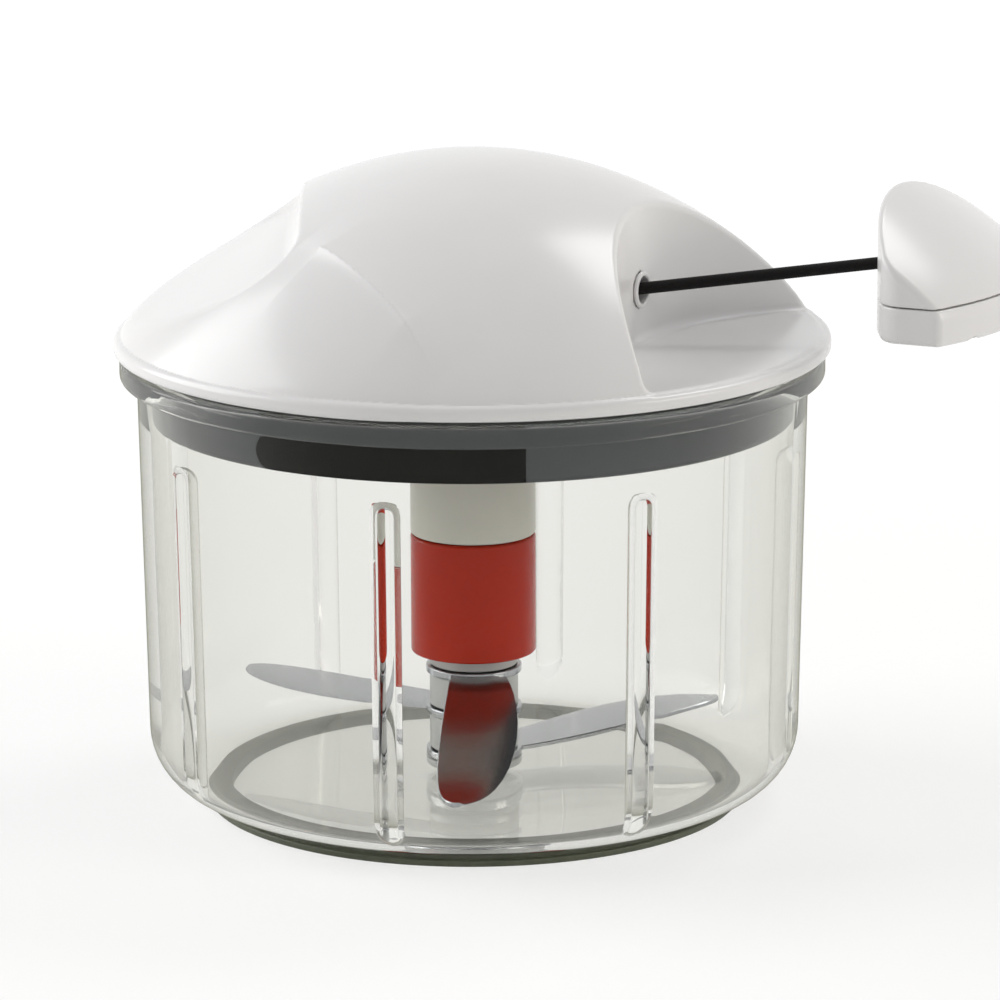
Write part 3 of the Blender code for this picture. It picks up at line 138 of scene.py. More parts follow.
def link_mesh(name: str, mesh: bpy.types.Mesh, sharp_angle: float = SHARP_ANGLE) -> bpy.types.Object:
    """Shade a mesh smooth between its sharp edges and put it in the scene.

    Args:
        name: Name of the object.
        mesh: Its mesh, in metres.
        sharp_angle: Edges steeper than this many degrees stay sharp.

    Returns:
        The object.
    """
    mesh.shade_smooth()
    mesh.set_sharp_from_angle(angle=math.radians(sharp_angle))
    obj = bpy.data.objects.new(name, mesh)
    bpy.context.scene.collection.objects.link(obj)
    return obj


def make_object(
    name: str,
    vertices: Iterable[Sequence[float]],
    faces: Iterable[Sequence[int]],
    sharp_angle: float = SHARP_ANGLE,
    recalculate: bool = True,
) -> bpy.types.Object:
    """Make a smooth-shaded mesh object from points in millimetres.

    Args:
        name: Name of the object.
        vertices: Points in millimetres in the row frame.
        faces: Vertex numbers of each face.
        sharp_angle: Edges steeper than this many degrees stay sharp.
        recalculate: Whether to turn all faces outwards.

    Returns:
        The object, linked to the scene.
    """
    mesh = bpy.data.meshes.new(name)
    mesh.from_pydata((np.asarray(vertices, float) * MM).tolist(), [], [tuple(face) for face in faces])
    if recalculate:
        made = bmesh.new()
        made.from_mesh(mesh)
        bmesh.ops.recalc_face_normals(made, faces=made.faces[:])
        made.to_mesh(mesh)
        made.free()
    return link_mesh(name, mesh, sharp_angle)


def join(name: str, parts: Sequence[bpy.types.Object]) -> bpy.types.Object:
    """Join objects into one object of several shells.

    Args:
        name: Name of the joined object.
        parts: Objects at the origin; they are used up.

    Returns:
        The joined object.
    """
    made = bmesh.new()
    for part in parts:
        made.from_mesh(part.data)
        bpy.data.objects.remove(part, do_unlink=True)
    mesh = bpy.data.meshes.new(name)
    made.to_mesh(mesh)
    made.free()
    return link_mesh(name, mesh)


def rounded(corners: Sequence[Corner], steps: int = 5) -> Outline:
    """Round the corners of a closed outline.

    Args:
        corners: Radius, height and fillet radius of each corner.
        steps: Number of chords in each fillet.

    Returns:
        The outline's points.
    """
    points: Outline = []
    for place, (x, z, fillet) in enumerate(corners):
        if fillet <= 0:
            points.append((x, z))
            continue
        here = Vector((x, z))
        before = Vector(corners[place - 1][:2]) - here
        after = Vector(corners[(place + 1) % len(corners)][:2]) - here
        half = before.angle(after) / 2
        reach = min(fillet / math.tan(half), before.length * FILLET_SHARE, after.length * FILLET_SHARE)
        radius = reach * math.tan(half)
        middle = here + (before.normalized() + after.normalized()).normalized() * radius / math.sin(half)
        start = here + before.normalized() * reach - middle
        end = here + after.normalized() * reach - middle
        sweep = start.angle_signed(end)
        for step in range(steps + 1):
            spoke = start.copy()
            spoke.rotate(Matrix.Rotation(-sweep * step / steps, 2))
            points.append(tuple(middle + spoke))
    return points


def ring_section(inner: float, outer: float, low: float, high: float, fillets: Sequence[float]) -> Outline:
    """Outline of a plain ring.

    Args:
        inner: Its inner radius.
        outer: Its outer radius.
        low: Height of its lower face.
        high: Height of its upper face.
        fillets: Fillet radii of its corners: lower inner, lower outer, upper outer, upper inner.

    Returns:
        The outline's points.
    """
    corners = ((inner, low), (outer, low), (outer, high), (inner, high))
    return rounded([(x, z, fillet) for (x, z), fillet in zip(corners, fillets)])


def arc(centre: tuple[float, float], radius: float, start: float, end: float, steps: int) -> Outline:
    """Points on an arc of an outline.

    Args:
        centre: Radius and height of its centre.
        radius: Radius of the arc itself.
        start: Its first angle in radians, counted up from the outward direction.
        end: Its last angle.
        steps: Number of chords.

    Returns:
        The points, with both ends.
    """
    x, z = centre
    angles = (start + (end - start) * step / steps for step in range(steps + 1))
    return [(x + radius * math.cos(angle), z + radius * math.sin(angle)) for angle in angles]


def round_turn(sides: int) -> list[float]:
    """Even angles of one full turn."""
    return [math.tau * side / sides for side in range(sides)]


def ring_points(
    outline: Outline,
    angles: Sequence[float],
    reach: Callable[[int, float], float] | None = None,
    axis_at: tuple[float, float] = (0.0, 0.0),
) -> tuple[list[Place], list[list[int]]]:
    """Set a ring of vertices about a vertical axis for each point of an outline.

    Args:
        outline: Radius and height of each ring.
        angles: Angles of the vertices in a ring.
        reach: Radius at a place of the outline and an angle, where it isn't the outline's own.
        axis_at: Plan position of the axis.

    Returns:
        The vertices and the vertex numbers of each ring.
    """
    vertices: list[Place] = []
    rings: list[list[int]] = []
    x, y = axis_at
    for place, (radius, height) in enumerate(outline):
        if radius < ON_AXIS:
            vertices.append((x, y, height))
            rings.append([len(vertices) - 1] * len(angles))
            continue
        first = len(vertices)
        for angle in angles:
            out = reach(place, angle) if reach else radius
            vertices.append((x + out * math.cos(angle), y + out * math.sin(angle), height))
        rings.append(list(range(first, len(vertices))))
    return vertices, rings


def bridge(rings: Sequence[Sequence[int]], closed: bool = False) -> list[tuple[int, ...]]:
    """Span the bands between neighbouring rings with faces.

    Args:
        rings: Vertex numbers of each ring; a ring on the axis names its one vertex again and again.
        closed: Whether the last ring is joined to the first.

    Returns:
        The vertex numbers of each face.
    """
    following = [*rings[1:], rings[0]] if closed else rings[1:]
    faces = []
    for one, two in zip(rings, following):
        for side in range(len(one)):
            after = (side + 1) % len(one)
            corners = dict.fromkeys((one[side], one[after], two[after], two[side]))
            if len(corners) > 2:
                faces.append(tuple(corners))
    return faces


def turned(
    name: str, outline: Outline, sides: int = 144, axis_at: tuple[float, float] = (0.0, 0.0)
) -> bpy.types.Object:
    """Turn an outline about a vertical axis.

    Args:
        name: Name of the object.
        outline: Radius and height of each point; an outline that starts and ends on the axis is solid.
        sides: Number of facets round the axis.
        axis_at: Plan position of the axis.

    Returns:
        The turned object.
    """
    vertices, rings = ring_points(outline, round_turn(sides), axis_at=axis_at)
    closed = outline[0][0] > ON_AXIS or outline[-1][0] > ON_AXIS
    return make_object(name, vertices, bridge(rings, closed))


def skin_sections(
    name: str, vertices: Sequence[Sequence[float]], sides: int, sharp_angle: float = SHARP_ANGLE
) -> bpy.types.Object:
    """Skin a row of sections and close both ends.

    Args:
        name: Name of the object.
        vertices: Points in millimetres, section after section.
        sides: Number of points in a section.
        sharp_angle: Edges steeper than this many degrees stay sharp.

    Returns:
        The closed object.
    """
    sections = [range(first, first + sides) for first in range(0, len(vertices), sides)]
    faces = [*bridge(sections), tuple(sections[0]), tuple(sections[-1])]
    return make_object(name, vertices, faces, sharp_angle)


def tube(name: str, points: np.ndarray, radius: Section, sides: int) -> bpy.types.Object:
    """Sweep a round section along a straight or bent line.

    Args:
        name: Name of the object.
        points: Line of points in millimetres.
        radius: Radius for a distance along the line and an angle round it.
        sides: Number of facets round the line.

    Returns:
        The capped tube.
    """
    steps = np.linalg.norm(np.diff(points, axis=0), axis=1)
    along = np.concatenate([[0], np.cumsum(steps)])
    tangent = np.gradient(points, axis=0)
    tangent /= np.linalg.norm(tangent, axis=1, keepdims=True)
    side = np.cross(tangent, (0.0, 0.0, 1.0))
    side /= np.linalg.norm(side, axis=1, keepdims=True)
    up = np.cross(side, tangent)
    vertices = []
    for place, centre in enumerate(points):
        for angle in round_turn(sides):
            reach = radius(float(along[place]), angle)
            vertices.append(centre + reach * (math.cos(angle) * side[place] + math.sin(angle) * up[place]))
    return skin_sections(name, vertices, sides, sharp_angle=60)


# Implicit solids: distance fields in millimetres and their surfaces


def round_intersection(one: np.ndarray, two: np.ndarray, radius: float) -> np.ndarray:
    """Keep what lies in both fields, with the edge between them rounded by a radius."""
    outside = np.hypot(np.maximum(one + radius, 0), np.maximum(two + radius, 0))
    return np.minimum(-radius, np.maximum(one, two)) + outside


def about_axis(points: np.ndarray) -> np.ndarray:
    """Radius and height of each point, in columns."""
    return np.stack([np.hypot(points[:, 0], points[:, 1]), points[:, 2]], 1)


def from_line(points: np.ndarray, at: np.ndarray, way: np.ndarray) -> tuple[np.ndarray, np.ndarray]:
    """Measure points from a line.

    Args:
        points: Points, one to a row.
        at: A place on the line.
        way: The line's direction, of length 1.

    Returns:
        How far each point lies along the line from that place, and how far off the line.
    """
    off = points - at
    along = off @ way
    return along, np.linalg.norm(off - along[:, None] * way, axis=1)


def profile_field(
    outline: Outline, low: tuple[float, float], high: tuple[float, float], step: float = 0.25
) -> Field:
    """Signed distance to a solid of revolution.

    Args:
        outline: Closed outline of radius and height, mirrored about the axis by the caller if needed.
        low: Lowest radius and height that are asked for.
        high: Highest radius and height that are asked for.
        step: Spacing of the table that the distances are read from.

    Returns:
        A function from radius and height arrays, stacked in columns, to signed distances.
    """
    radii = np.arange(low[0], high[0] + step, step)
    heights = np.arange(low[1], high[1] + step, step)
    grid = np.stack(np.meshgrid(radii, heights, indexing="ij"), -1)
    least = np.full(grid.shape[:2], np.inf)
    crossings = np.zeros(grid.shape[:2], int)
    for (ax, az), (bx, bz) in zip(outline, outline[1:] + outline[:1]):
        start, way = np.array((ax, az)), np.array((bx - ax, bz - az))
        if not way.any():
            continue
        share = np.clip(((grid - start) @ way) / (way @ way), 0, 1)
        least = np.minimum(least, np.linalg.norm(grid - start - share[..., None] * way, axis=-1))
        if az != bz:
            spans = (az > grid[..., 1]) != (bz > grid[..., 1])
            crossings += spans & (grid[..., 0] < ax + (grid[..., 1] - az) * way[0] / way[1])
    table = np.where(crossings % 2 == 1, -least, least)
    # Just inside the last entry, so that a next one is always there to read
    last = np.array(table.shape) - 1.001

    def read(points: np.ndarray) -> np.ndarray:
        """Read the table between its entries.

        Args:
            points: Radius and height, in columns.

        Returns:
            The signed distance at each point.
        """
        across = np.clip((points[:, 0] - low[0]) / step, 0, last[0])
        upward = np.clip((points[:, 1] - low[1]) / step, 0, last[1])
        i, j = across.astype(int), upward.astype(int)
        u, v = across - i, upward - j
        lower = table[i, j] * (1 - u) + table[i + 1, j] * u
        upper = table[i, j + 1] * (1 - u) + table[i + 1, j + 1] * u
        return lower * (1 - v) + upper * v

    return read


def crossed_cells(inside: np.ndarray) -> np.ndarray:
    """Find the cells of a grid that the surface runs through.

    Args:
        inside: Whether each grid corner lies inside the solid.

    Returns:
        Whether each cell has corners on both sides.
    """
    wide, deep, high = np.array(inside.shape) - 1
    corners = [(i, j, k) for i in (0, 1) for j in (0, 1) for k in (0, 1)]
    filled = sum(inside[i : wide + i, j : deep + j, k : high + k].astype(np.int8) for i, j, k in corners)
    return (filled > 0) & (filled < len(corners))


def cell_points(values: np.ndarray, cells: np.ndarray, low: np.ndarray, cell: float) -> np.ndarray:
    """Set a point in each cell, at the mean of the surface's crossings with its edges.

    Args:
        values: Field at each grid corner.
        cells: Grid place of each crossed cell, one to a row.
        low: Lowest corner of the grid.
        cell: Edge of one cell.

    Returns:
        The points, one to a row.
    """
    total = np.zeros((len(cells), 3))
    crossed = np.zeros(len(cells))
    for axis, edge in enumerate(UNITS):
        one, two = UNITS[(axis + 1) % 3], UNITS[(axis + 2) % 3]
        for start in (cells, cells + one, cells + two, cells + one + two):
            first, last = values[tuple(start.T)], values[tuple((start + edge).T)]
            change = (first < 0) != (last < 0)
            share = first[change] / (first[change] - last[change])
            total[change] += start[change] + share[:, None] * edge
            crossed[change] += 1
    return low + cell * total / crossed[:, None]


def cell_faces(inside: np.ndarray, active: np.ndarray) -> np.ndarray:
    """Join the cells' points into quads that face out of the solid.

    Args:
        inside: Whether each grid corner lies inside the solid.
        active: Whether the surface runs through each cell.

    Returns:
        The four point numbers of each quad.
    """
    numbers = np.full(active.shape, -1)
    numbers[active] = np.arange(active.sum())
    faces = []
    for axis in range(3):
        one, two = UNITS[(axis + 1) % 3], UNITS[(axis + 2) % 3]
        starts = np.argwhere(np.diff(inside.astype(np.int8), axis=axis) != 0)
        starts = starts[np.all(starts[:, [(axis + 1) % 3, (axis + 2) % 3]] > 0, axis=1)]
        quads = np.stack([numbers[tuple((starts - back).T)] for back in (0 * one, one, one + two, two)], 1)
        inward = ~inside[tuple(starts.T)]
        quads[inward] = quads[inward][:, ::-1]
        faces.append(quads)
    return np.concatenate(faces)


def settle(
    solid: Field, points: np.ndarray, cell: float, reach: float = 0.12, moves: int = 3
) -> tuple[np.ndarray, np.ndarray]:
    """Move points onto the zero surface of a field.

    Args:
        solid: Signed distance in millimetres.
        points: Points near the surface.
        cell: Edge of a sampling cell, which limits each move.
        reach: How far to each side of a point the slope is measured.
        moves: Number of moves.

    Returns:
        The settled points and the outward normals there.
    """
    gradient = np.zeros_like(points)
    for move in range(moves + 1):
        for axis, unit in enumerate(UNITS):
            gradient[:, axis] = solid(points + unit * reach) - solid(points - unit * reach)
        length = np.linalg.norm(gradient, axis=1, keepdims=True)
        # A flat spot has no slope to divide by
        gradient = gradient / np.maximum(length, 1e-9)
        if move < moves:
            points = points - gradient * np.clip(solid(points), -cell / 2, cell / 2)[:, None]
    return points, gradient


def surface(name: str, solid: Field, low: Place, high: Place, cell: float) -> bpy.types.Object:
    """Draw the zero surface of a distance field as quads with its own smooth normals.

    Args:
        name: Name of the object.
        solid: Signed distance in millimetres, negative inside.
        low: Lowest corner of the sampled box.
        high: Highest corner of the sampled box.
        cell: Edge of one sampling cell.

    Returns:
        The surface as an object.
    """
    low = np.array(low, float)
    counts = np.ceil((np.array(high) - low) / cell).astype(int) + 1
    axes = [low[axis] + cell * np.arange(counts[axis]) for axis in range(3)]
    values = np.empty(counts)
    for layer, height in enumerate(axes[2]):
        plane = np.stack(np.meshgrid(axes[0], axes[1], [height], indexing="ij"), -1).reshape(-1, 3)
        values[:, :, layer] = solid(plane).reshape(counts[0], counts[1])
    inside = values < 0
    active = crossed_cells(inside)
    points, normals = settle(solid, cell_points(values, np.argwhere(active), low, cell), cell)
    faces = cell_faces(inside, active).tolist()
    obj = make_object(name, points, faces, sharp_angle=180, recalculate=False)
    obj.data.normals_split_custom_set_from_vertices(normals.tolist())
    return obj


# Finishes


@dataclass(frozen=True)
class Finish(ABC):
    """A surface finish with a name and a base colour."""

    name: str
    colour: str

    def begin(self, settings: dict[str, object]) -> tuple[bpy.types.Material, Tree, bpy.types.Node]:
        """Start a material.

        Args:
            settings: What is the same all over the surface: the shader's input names with their values.

        Returns:
            The material, its node tree and its Principled shader.
        """
        material = bpy.data.materials.new(self.name)
        material.use_nodes = True
        tree = material.node_tree
        shader = tree.nodes["Principled BSDF"]
        for name, value in {"Base Color": linear(self.colour), **settings}.items():
            shader.inputs[name].default_value = value
        return material, tree, shader

    def enliven(
        self,
        shader: bpy.types.Node,
        tone: Socket,
        second_colour: str,
        relief: Socket,
        depth_mm: float,
        gloss: Socket | None = None,
        gloss_range: dict[str, object] | None = None,
    ) -> None:
        """Let patterns change the colour, the relief and the gloss from place to place.

        Args:
            shader: The material's Principled shader.
            tone: Pattern that leads from the base colour to the second colour.
            second_colour: The second colour.
            relief: Pattern that is raised.
            depth_mm: How high it is raised.
            gloss: Pattern that changes the roughness.
            gloss_range: Settings that turn that pattern into a roughness.
        """
        tree = shader.id_data
        colours = add_node(tree, "ShaderNodeMix", {"data_type": "RGBA"}, {"Factor": tone})
        # Inputs 6 and 7 and output 2 of a Mix node are its colours
        colours.inputs[6].default_value = linear(self.colour)
        colours.inputs[7].default_value = linear(second_colour)
        tree.links.new(colours.outputs[2], shader.inputs["Base Color"])
        raised = {"Strength": 1.0, "Distance": depth_mm * MM}
        bump = add_node(tree, "ShaderNodeBump", raised, {"Height": relief})
        tree.links.new(bump.outputs["Normal"], shader.inputs["Normal"])
        if gloss is not None:
            roughness = add_node(tree, "ShaderNodeMapRange", gloss_range, {"Value": gloss})
            tree.links.new(roughness.outputs["Result"], shader.inputs["Roughness"])

    def make(self) -> bpy.types.Material:
        """Make the material, once for each name.

        Returns:
            The material.
        """
        if self.name in bpy.data.materials:
            return bpy.data.materials[self.name]
        return self.build()

    @abstractmethod
    def build(self) -> bpy.types.Material:
        """Build the material's node tree."""


@dataclass(frozen=True)
class MouldedPlastic(Finish):
    """Injection-moulded plastic, copied from a polished or spark-eroded mould.

    It reads as one even colour under a sharp, white highlight, with a faint cloudiness where the melt
    met and a very fine skin texture that softens the highlight's edge.
    """

    cloud_colour: str
    roughness: float = 0.25
    roughness_spread: float = 0.06
    # Flow marks of a melt are some 2 cm wide
    cloud_mm: float = 22.0
    # The mould's own texture is about 0.1 mm fine; it is drawn 1.4 mm wide so that it shows
    skin_mm: float = 1.4
    skin_depth_mm: float = 0.002
    ior: float = 1.53
    shine: float = 0.5

    def build(self) -> bpy.types.Material:
        """Build clouded colour, uneven gloss and a fine skin bump.

        Returns:
            The material.
        """
        material, tree, shader = self.begin({"IOR": self.ior, "Specular IOR Level": self.shine})
        place = add_node(tree, "ShaderNodeTexCoord").outputs["Object"]
        cloud_scale = {"Scale": per_metre(self.cloud_mm), "Detail": 2.0}
        cloud = add_node(tree, "ShaderNodeTexNoise", cloud_scale, {"Vector": place}).outputs["Fac"]
        skin_scale = {"Scale": per_metre(self.skin_mm), "Detail": 3.0}
        skin = add_node(tree, "ShaderNodeTexNoise", skin_scale, {"Vector": place}).outputs["Fac"]
        spread = self.roughness_spread / 2
        gloss_range = {"To Min": self.roughness - spread, "To Max": self.roughness + spread}
        self.enliven(shader, cloud, self.cloud_colour, skin, self.skin_depth_mm, cloud, gloss_range)
        return material


@dataclass(frozen=True)
class ClearPlastic(Finish):
    """Styrene acrylonitrile (SAN), moulded clear in a polished mould.

    It is nearly colourless face on and darkens to a thin line where the eye looks along the wall and
    through more of it. A coat that reflects nothing itself carries a faint tint for that, which deepens
    with the length of the way through it. The base colour is also painted dark at the very rim: a painted
    shade that draws the wall's outline, in place of the dark surroundings that the real edge bends into
    view.
    Most of the light that the wall would pipe round inside itself is let out, so that a rib stays pale.
    Hairline scuffs and a little unevenness in the wall break its reflections up.
    """

    painted_rim_shade_colour: str = "#45473f"
    # Where the painted rim shade starts to darken the base colour and where it ends, from 0 face on to 1
    # edge on
    painted_rim_shade_start: float = 0.76
    painted_rim_shade_end: float = 0.98
    # Dims the reflection face on and leaves it bright at a grazing angle
    face_tint: str = "#303030"
    skin_tint: str = "#fafaf9"
    # Share of the piped light that is let out, and the Fresnel value from which light counts as piped
    leak: float = 0.8
    piped_from: float = 0.98
    roughness: float = 0.015
    # Wiping leaves hairlines of about 0.1 mm; they are drawn 2.5 mm wide, four times as long, to show
    scuff_mm: float = 2.5
    scuff_stretch: float = 0.25
    scuff_start: float = 0.55
    scuff_end: float = 0.85
    scuff_dulling: float = 5.0
    # The wall's thickness wavers over some 3 cm
    wave_mm: float = 26.0
    wave_depth_mm: float = 0.02
    ior: float = 1.57

    def build(self) -> bpy.types.Material:
        """Build a transmitting shader with scuffed gloss and wall waves.

        Returns:
            The material.
        """
        settings = {
            "Transmission Weight": 1.0,
            "IOR": self.ior,
            "Specular Tint": linear(self.face_tint),
            "Coat Weight": 1.0,
            "Coat IOR": 1.0,
            "Coat Roughness": 0.0,
            "Coat Tint": linear(self.skin_tint),
        }
        material, tree, shader = self.begin(settings)
        piped = add_node(tree, "ShaderNodeFresnel", {"IOR": self.ior}).outputs["Fac"]
        leaking = {"From Min": self.piped_from, "To Min": 1.0, "To Max": 1.0 - self.leak}
        kept = add_node(tree, "ShaderNodeMapRange", leaking, {"Value": piped})
        tree.links.new(kept.outputs["Result"], shader.inputs["Alpha"])
        # Painted shade: towards the rim the base colour is mixed into the painted dark rim colour, by how
        # edge on the wall is seen
        facing = add_node(tree, "ShaderNodeLayerWeight", {"Blend": 0.5}).outputs["Facing"]
        painted_rim_shade_range = {"From Min": self.painted_rim_shade_start, "From Max": self.painted_rim_shade_end}
        edge = add_node(tree, "ShaderNodeMapRange", painted_rim_shade_range, {"Value": facing}).outputs["Result"]
        place = add_node(tree, "ShaderNodeTexCoord").outputs["Object"]
        upright = {"Scale": (1.0, 1.0, self.scuff_stretch)}
        stretch = add_node(tree, "ShaderNodeMapping", upright, {"Vector": place}).outputs["Vector"]
        scuff_scale = {"Scale": per_metre(self.scuff_mm), "Detail": 6.0, "Roughness": 0.7}
        scuff = add_node(tree, "ShaderNodeTexNoise", scuff_scale, {"Vector": stretch}).outputs["Fac"]
        wave_scale = {"Scale": per_metre(self.wave_mm), "Detail": 1.0}
        wave = add_node(tree, "ShaderNodeTexNoise", wave_scale, {"Vector": place}).outputs["Fac"]
        gloss_range = {
            "From Min": self.scuff_start,
            "From Max": self.scuff_end,
            "To Min": self.roughness,
            "To Max": self.roughness * self.scuff_dulling,
        }
        # The base colour takes the painted rim shade; the wall waves are the relief and the scuffs the
        # gloss
        self.enliven(shader, edge, self.painted_rim_shade_colour, wave, self.wave_depth_mm, scuff, gloss_range)
        return material


@dataclass(frozen=True)
class Metal(Finish):
    """Rolled, ground or sintered metal.

    Grinding leaves fine lines along the piece that streak the highlight; a sintered bush is dull and
    slightly pitted.
    """

    roughness: float = 0.24
    roughness_spread: float = 0.3
    # Grinding lines are a few hundredths of a millimetre wide; they are drawn 0.5 mm wide so that they show
    grain_mm: tuple[float, float, float] = (0.5, 0.5, 12.0)
    grain_depth_mm: float = 0.006
    streak_colour: str = "#8f9194"

    def build(self) -> bpy.types.Material:
        """Build streaked colour and gloss with a grain bump.

        Returns:
            The material.
        """
        material, tree, shader = self.begin({"Metallic": 1.0})
        place = add_node(tree, "ShaderNodeTexCoord").outputs["Object"]
        scale = tuple(per_metre(size) for size in self.grain_mm)
        stretch = add_node(tree, "ShaderNodeMapping", {"Scale": scale}, {"Vector": place}).outputs["Vector"]
        grain_scale = {"Scale": 1.0, "Detail": 4.0, "Roughness": 0.6}
        grain = add_node(tree, "ShaderNodeTexNoise", grain_scale, {"Vector": stretch}).outputs["Fac"]
        gloss_range = {
            "To Min": self.roughness * (1 - self.roughness_spread),
            "To Max": self.roughness * (1 + self.roughness_spread),
        }
        self.enliven(shader, grain, self.streak_colour, grain, self.grain_depth_mm, grain, gloss_range)
        return material


@dataclass(frozen=True)
class Rubber(Finish):
    """Moulded thermoplastic rubber: dark and matt, with a dusty bloom in its fine skin."""

    bloom_colour: str = "#262825"
    roughness: float = 0.62
    # Bloom and dust gather in spots of a few millimetres
    bloom_mm: float = 3.0
    bloom_depth_mm: float = 0.02
    ior: float = 1.5

    def build(self) -> bpy.types.Material:
        """Build a dusty matt surface.

        Returns:
            The material.
        """
        material, tree, shader = self.begin({"IOR": self.ior, "Roughness": self.roughness})
        place = add_node(tree, "ShaderNodeTexCoord").outputs["Object"]
        bloom_scale = {"Scale": per_metre(self.bloom_mm), "Detail": 5.0}
        bloom = add_node(tree, "ShaderNodeTexNoise", bloom_scale, {"Vector": place}).outputs["Fac"]
        self.enliven(shader, bloom, self.bloom_colour, bloom, self.bloom_depth_mm)
        return material


@dataclass(frozen=True)
class BraidedCord(Finish):
    """Braided polyester cord: black yarn with a dull sheen and paler, dusty crowns."""

    crown_colour: str = "#1b1918"
    roughness: float = 0.85
    shine: float = 0.2
    sheen: float = 0.04
    sheen_roughness: float = 0.5
    # Width of one yarn's filament bundle
    yarn_mm: float = 0.35
    yarn_depth_mm: float = 0.05

    def build(self) -> bpy.types.Material:
        """Build yarn fuzz over the braid that the mesh has.

        Returns:
            The material.
        """
        settings = {
            "Roughness": self.roughness,
            "Specular IOR Level": self.shine,
            "Sheen Weight": self.sheen,
            "Sheen Roughness": self.sheen_roughness,
        }
        material, tree, shader = self.begin(settings)
        place = add_node(tree, "ShaderNodeTexCoord").outputs["Object"]
        yarn_scale = {"Scale": per_metre(self.yarn_mm), "Detail": 3.0}
        fuzz = add_node(tree, "ShaderNodeTexNoise", yarn_scale, {"Vector": place}).outputs["Fac"]
        self.enliven(shader, fuzz, self.crown_colour, fuzz, self.yarn_depth_mm)
        return material


class Look(Enum):
    """The finishes of the chopper's pieces."""

    # High-gloss white ABS of the lid, the handle and the eyelet: warm white under a soft, wide highlight
    WHITE_ABS = MouldedPlastic("white_abs", "#e9e8e7", cloud_colour="#e2e1e0", roughness=0.22, shine=0.4)
    # Satin white ABS of the drive socket: creamier than the lid, with no clear reflection
    SOCKET_ABS = MouldedPlastic("socket_abs", "#dedcd2", cloud_colour="#d2d0c4", roughness=0.34, shine=0.3)
    # Dark grey polypropylene of the frame: satin, slightly bluish
    GREY_PP = MouldedPlastic(
        "grey_polypropylene", "#45494c", cloud_colour="#3f4346", roughness=0.36, ior=1.49, shine=0.8
    )
    # Near-black ABS of the inlay strip: flat, with hardly a highlight
    BLACK_ABS = MouldedPlastic("black_abs", "#161713", cloud_colour="#1d1e1a", roughness=0.38, shine=0.15)
    # Light grey polypropylene of the hub, drum and spring cover: satin, a shade below the lid's white
    HUB_PP = MouldedPlastic(
        "hub_polypropylene", "#c9cac8", cloud_colour="#bdbebc", roughness=0.38, ior=1.49
    )
    # Red ABS of the blade sleeve: saturated, with a glossy skin
    RED_ABS = MouldedPlastic("red_abs", "#be3016", cloud_colour="#b02811", roughness=0.26, shine=0.2)
    # Clear SAN of the bowl: nearly colourless, drawn by its painted dark outlines and bright edges
    CLEAR_SAN = ClearPlastic("clear_san", "#fefefe")
    # Cold-rolled stainless steel, ground along the blade: mirrors what is near, a little streaked
    BLADE_STEEL = Metal("blade_steel", "#c9cbce", roughness=0.22)
    # Bright turned steel of the pin, spindle and screws: fine rings round the axis
    TURNED_STEEL = Metal("turned_steel", "#c2c4c6", roughness=0.2, grain_mm=(6.0, 6.0, 0.2))
    # Blued spring steel strip: dark, with cool reflections
    SPRING_STEEL = Metal("spring_steel", "#6d7078", roughness=0.3, streak_colour="#585c66")
    # Sintered bronze of the bushes: brown gold, dull and finely pitted
    BRONZE = Metal(
        "sintered_bronze", "#a97c46", roughness=0.45, grain_mm=(0.4, 0.4, 0.4), streak_colour="#8c6236"
    )
    # Near-black thermoplastic rubber of the seal: matt, swallows most light
    RUBBER = Rubber("dark_rubber", "#151614")
    # Thermoplastic rubber of the foot ring: satin, seen as a green-grey band through the floor. Its
    # olive-grey tone is partly the rubber's own dark colour and partly painted shade for the shadowed base
    # of the clear bowl
    FOOT_RUBBER_AND_PAINTED_SHADE = Rubber("foot_rubber", "#454a38", bloom_colour="#5b604e", roughness=0.5)
    # Black braided polyester of the pull cord: matt, with the braid's crowns just paler
    CORD = BraidedCord("braided_polyester", "#0d0c0c")

    def dress(self, obj: bpy.types.Object) -> bpy.types.Object:
        """Give an object this finish in place of whatever it has.

        Args:
            obj: The object.

        Returns:
            The same object.
        """
        obj.data.materials.clear()
        obj.data.materials.append(self.value.make())
        return obj


class Body(Enum):
    """The CAD bodies that the chopper's pieces ride on."""

    BOWL = "bowl_body"
    LID = "lid_body"
    DRIVE = "drive_body"
    HANDLE = "handle_body"
    BLADES = "blade_unit"


class Slot(Enum):
    """The record's material slots."""

    CLEAR = "clear"
    LID_WHITE = "lid_white"
    FRAME_GREY = "frame_grey"
    LIGHT_GREY = "light_grey"
    DARK_PLASTIC = "dark_plastic"
    DARK_RUBBER = "dark_rubber"
    RED = "red"
    STEEL = "steel"
    CORD_BLACK = "cord_black"


def place_piece(obj: bpy.types.Object, look: Look, body: Body, slot: Slot, *nodes: str) -> None:
    """Finish a piece, seat it on its body and let it stand for CAD nodes.

    Args:
        obj: The piece, in place in the row frame.
        look: Its finish.
        body: The CAD body that it rides on.
        slot: The record's material slot; not used.
        *nodes: CAD nodes that it replaces.
    """
    look.dress(obj)
    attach(obj, body.value)
    if nodes:
        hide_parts(*nodes)
    LOG.info("%s on %s, %d faces", obj.name, body.value, len(obj.data.polygons))


def dress_node(node: str, look: Look) -> None:
    """Give a carried CAD node a finish."""
    look.dress(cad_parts[node])
    LOG.info("%s carried", node)


# Sub-assemblies


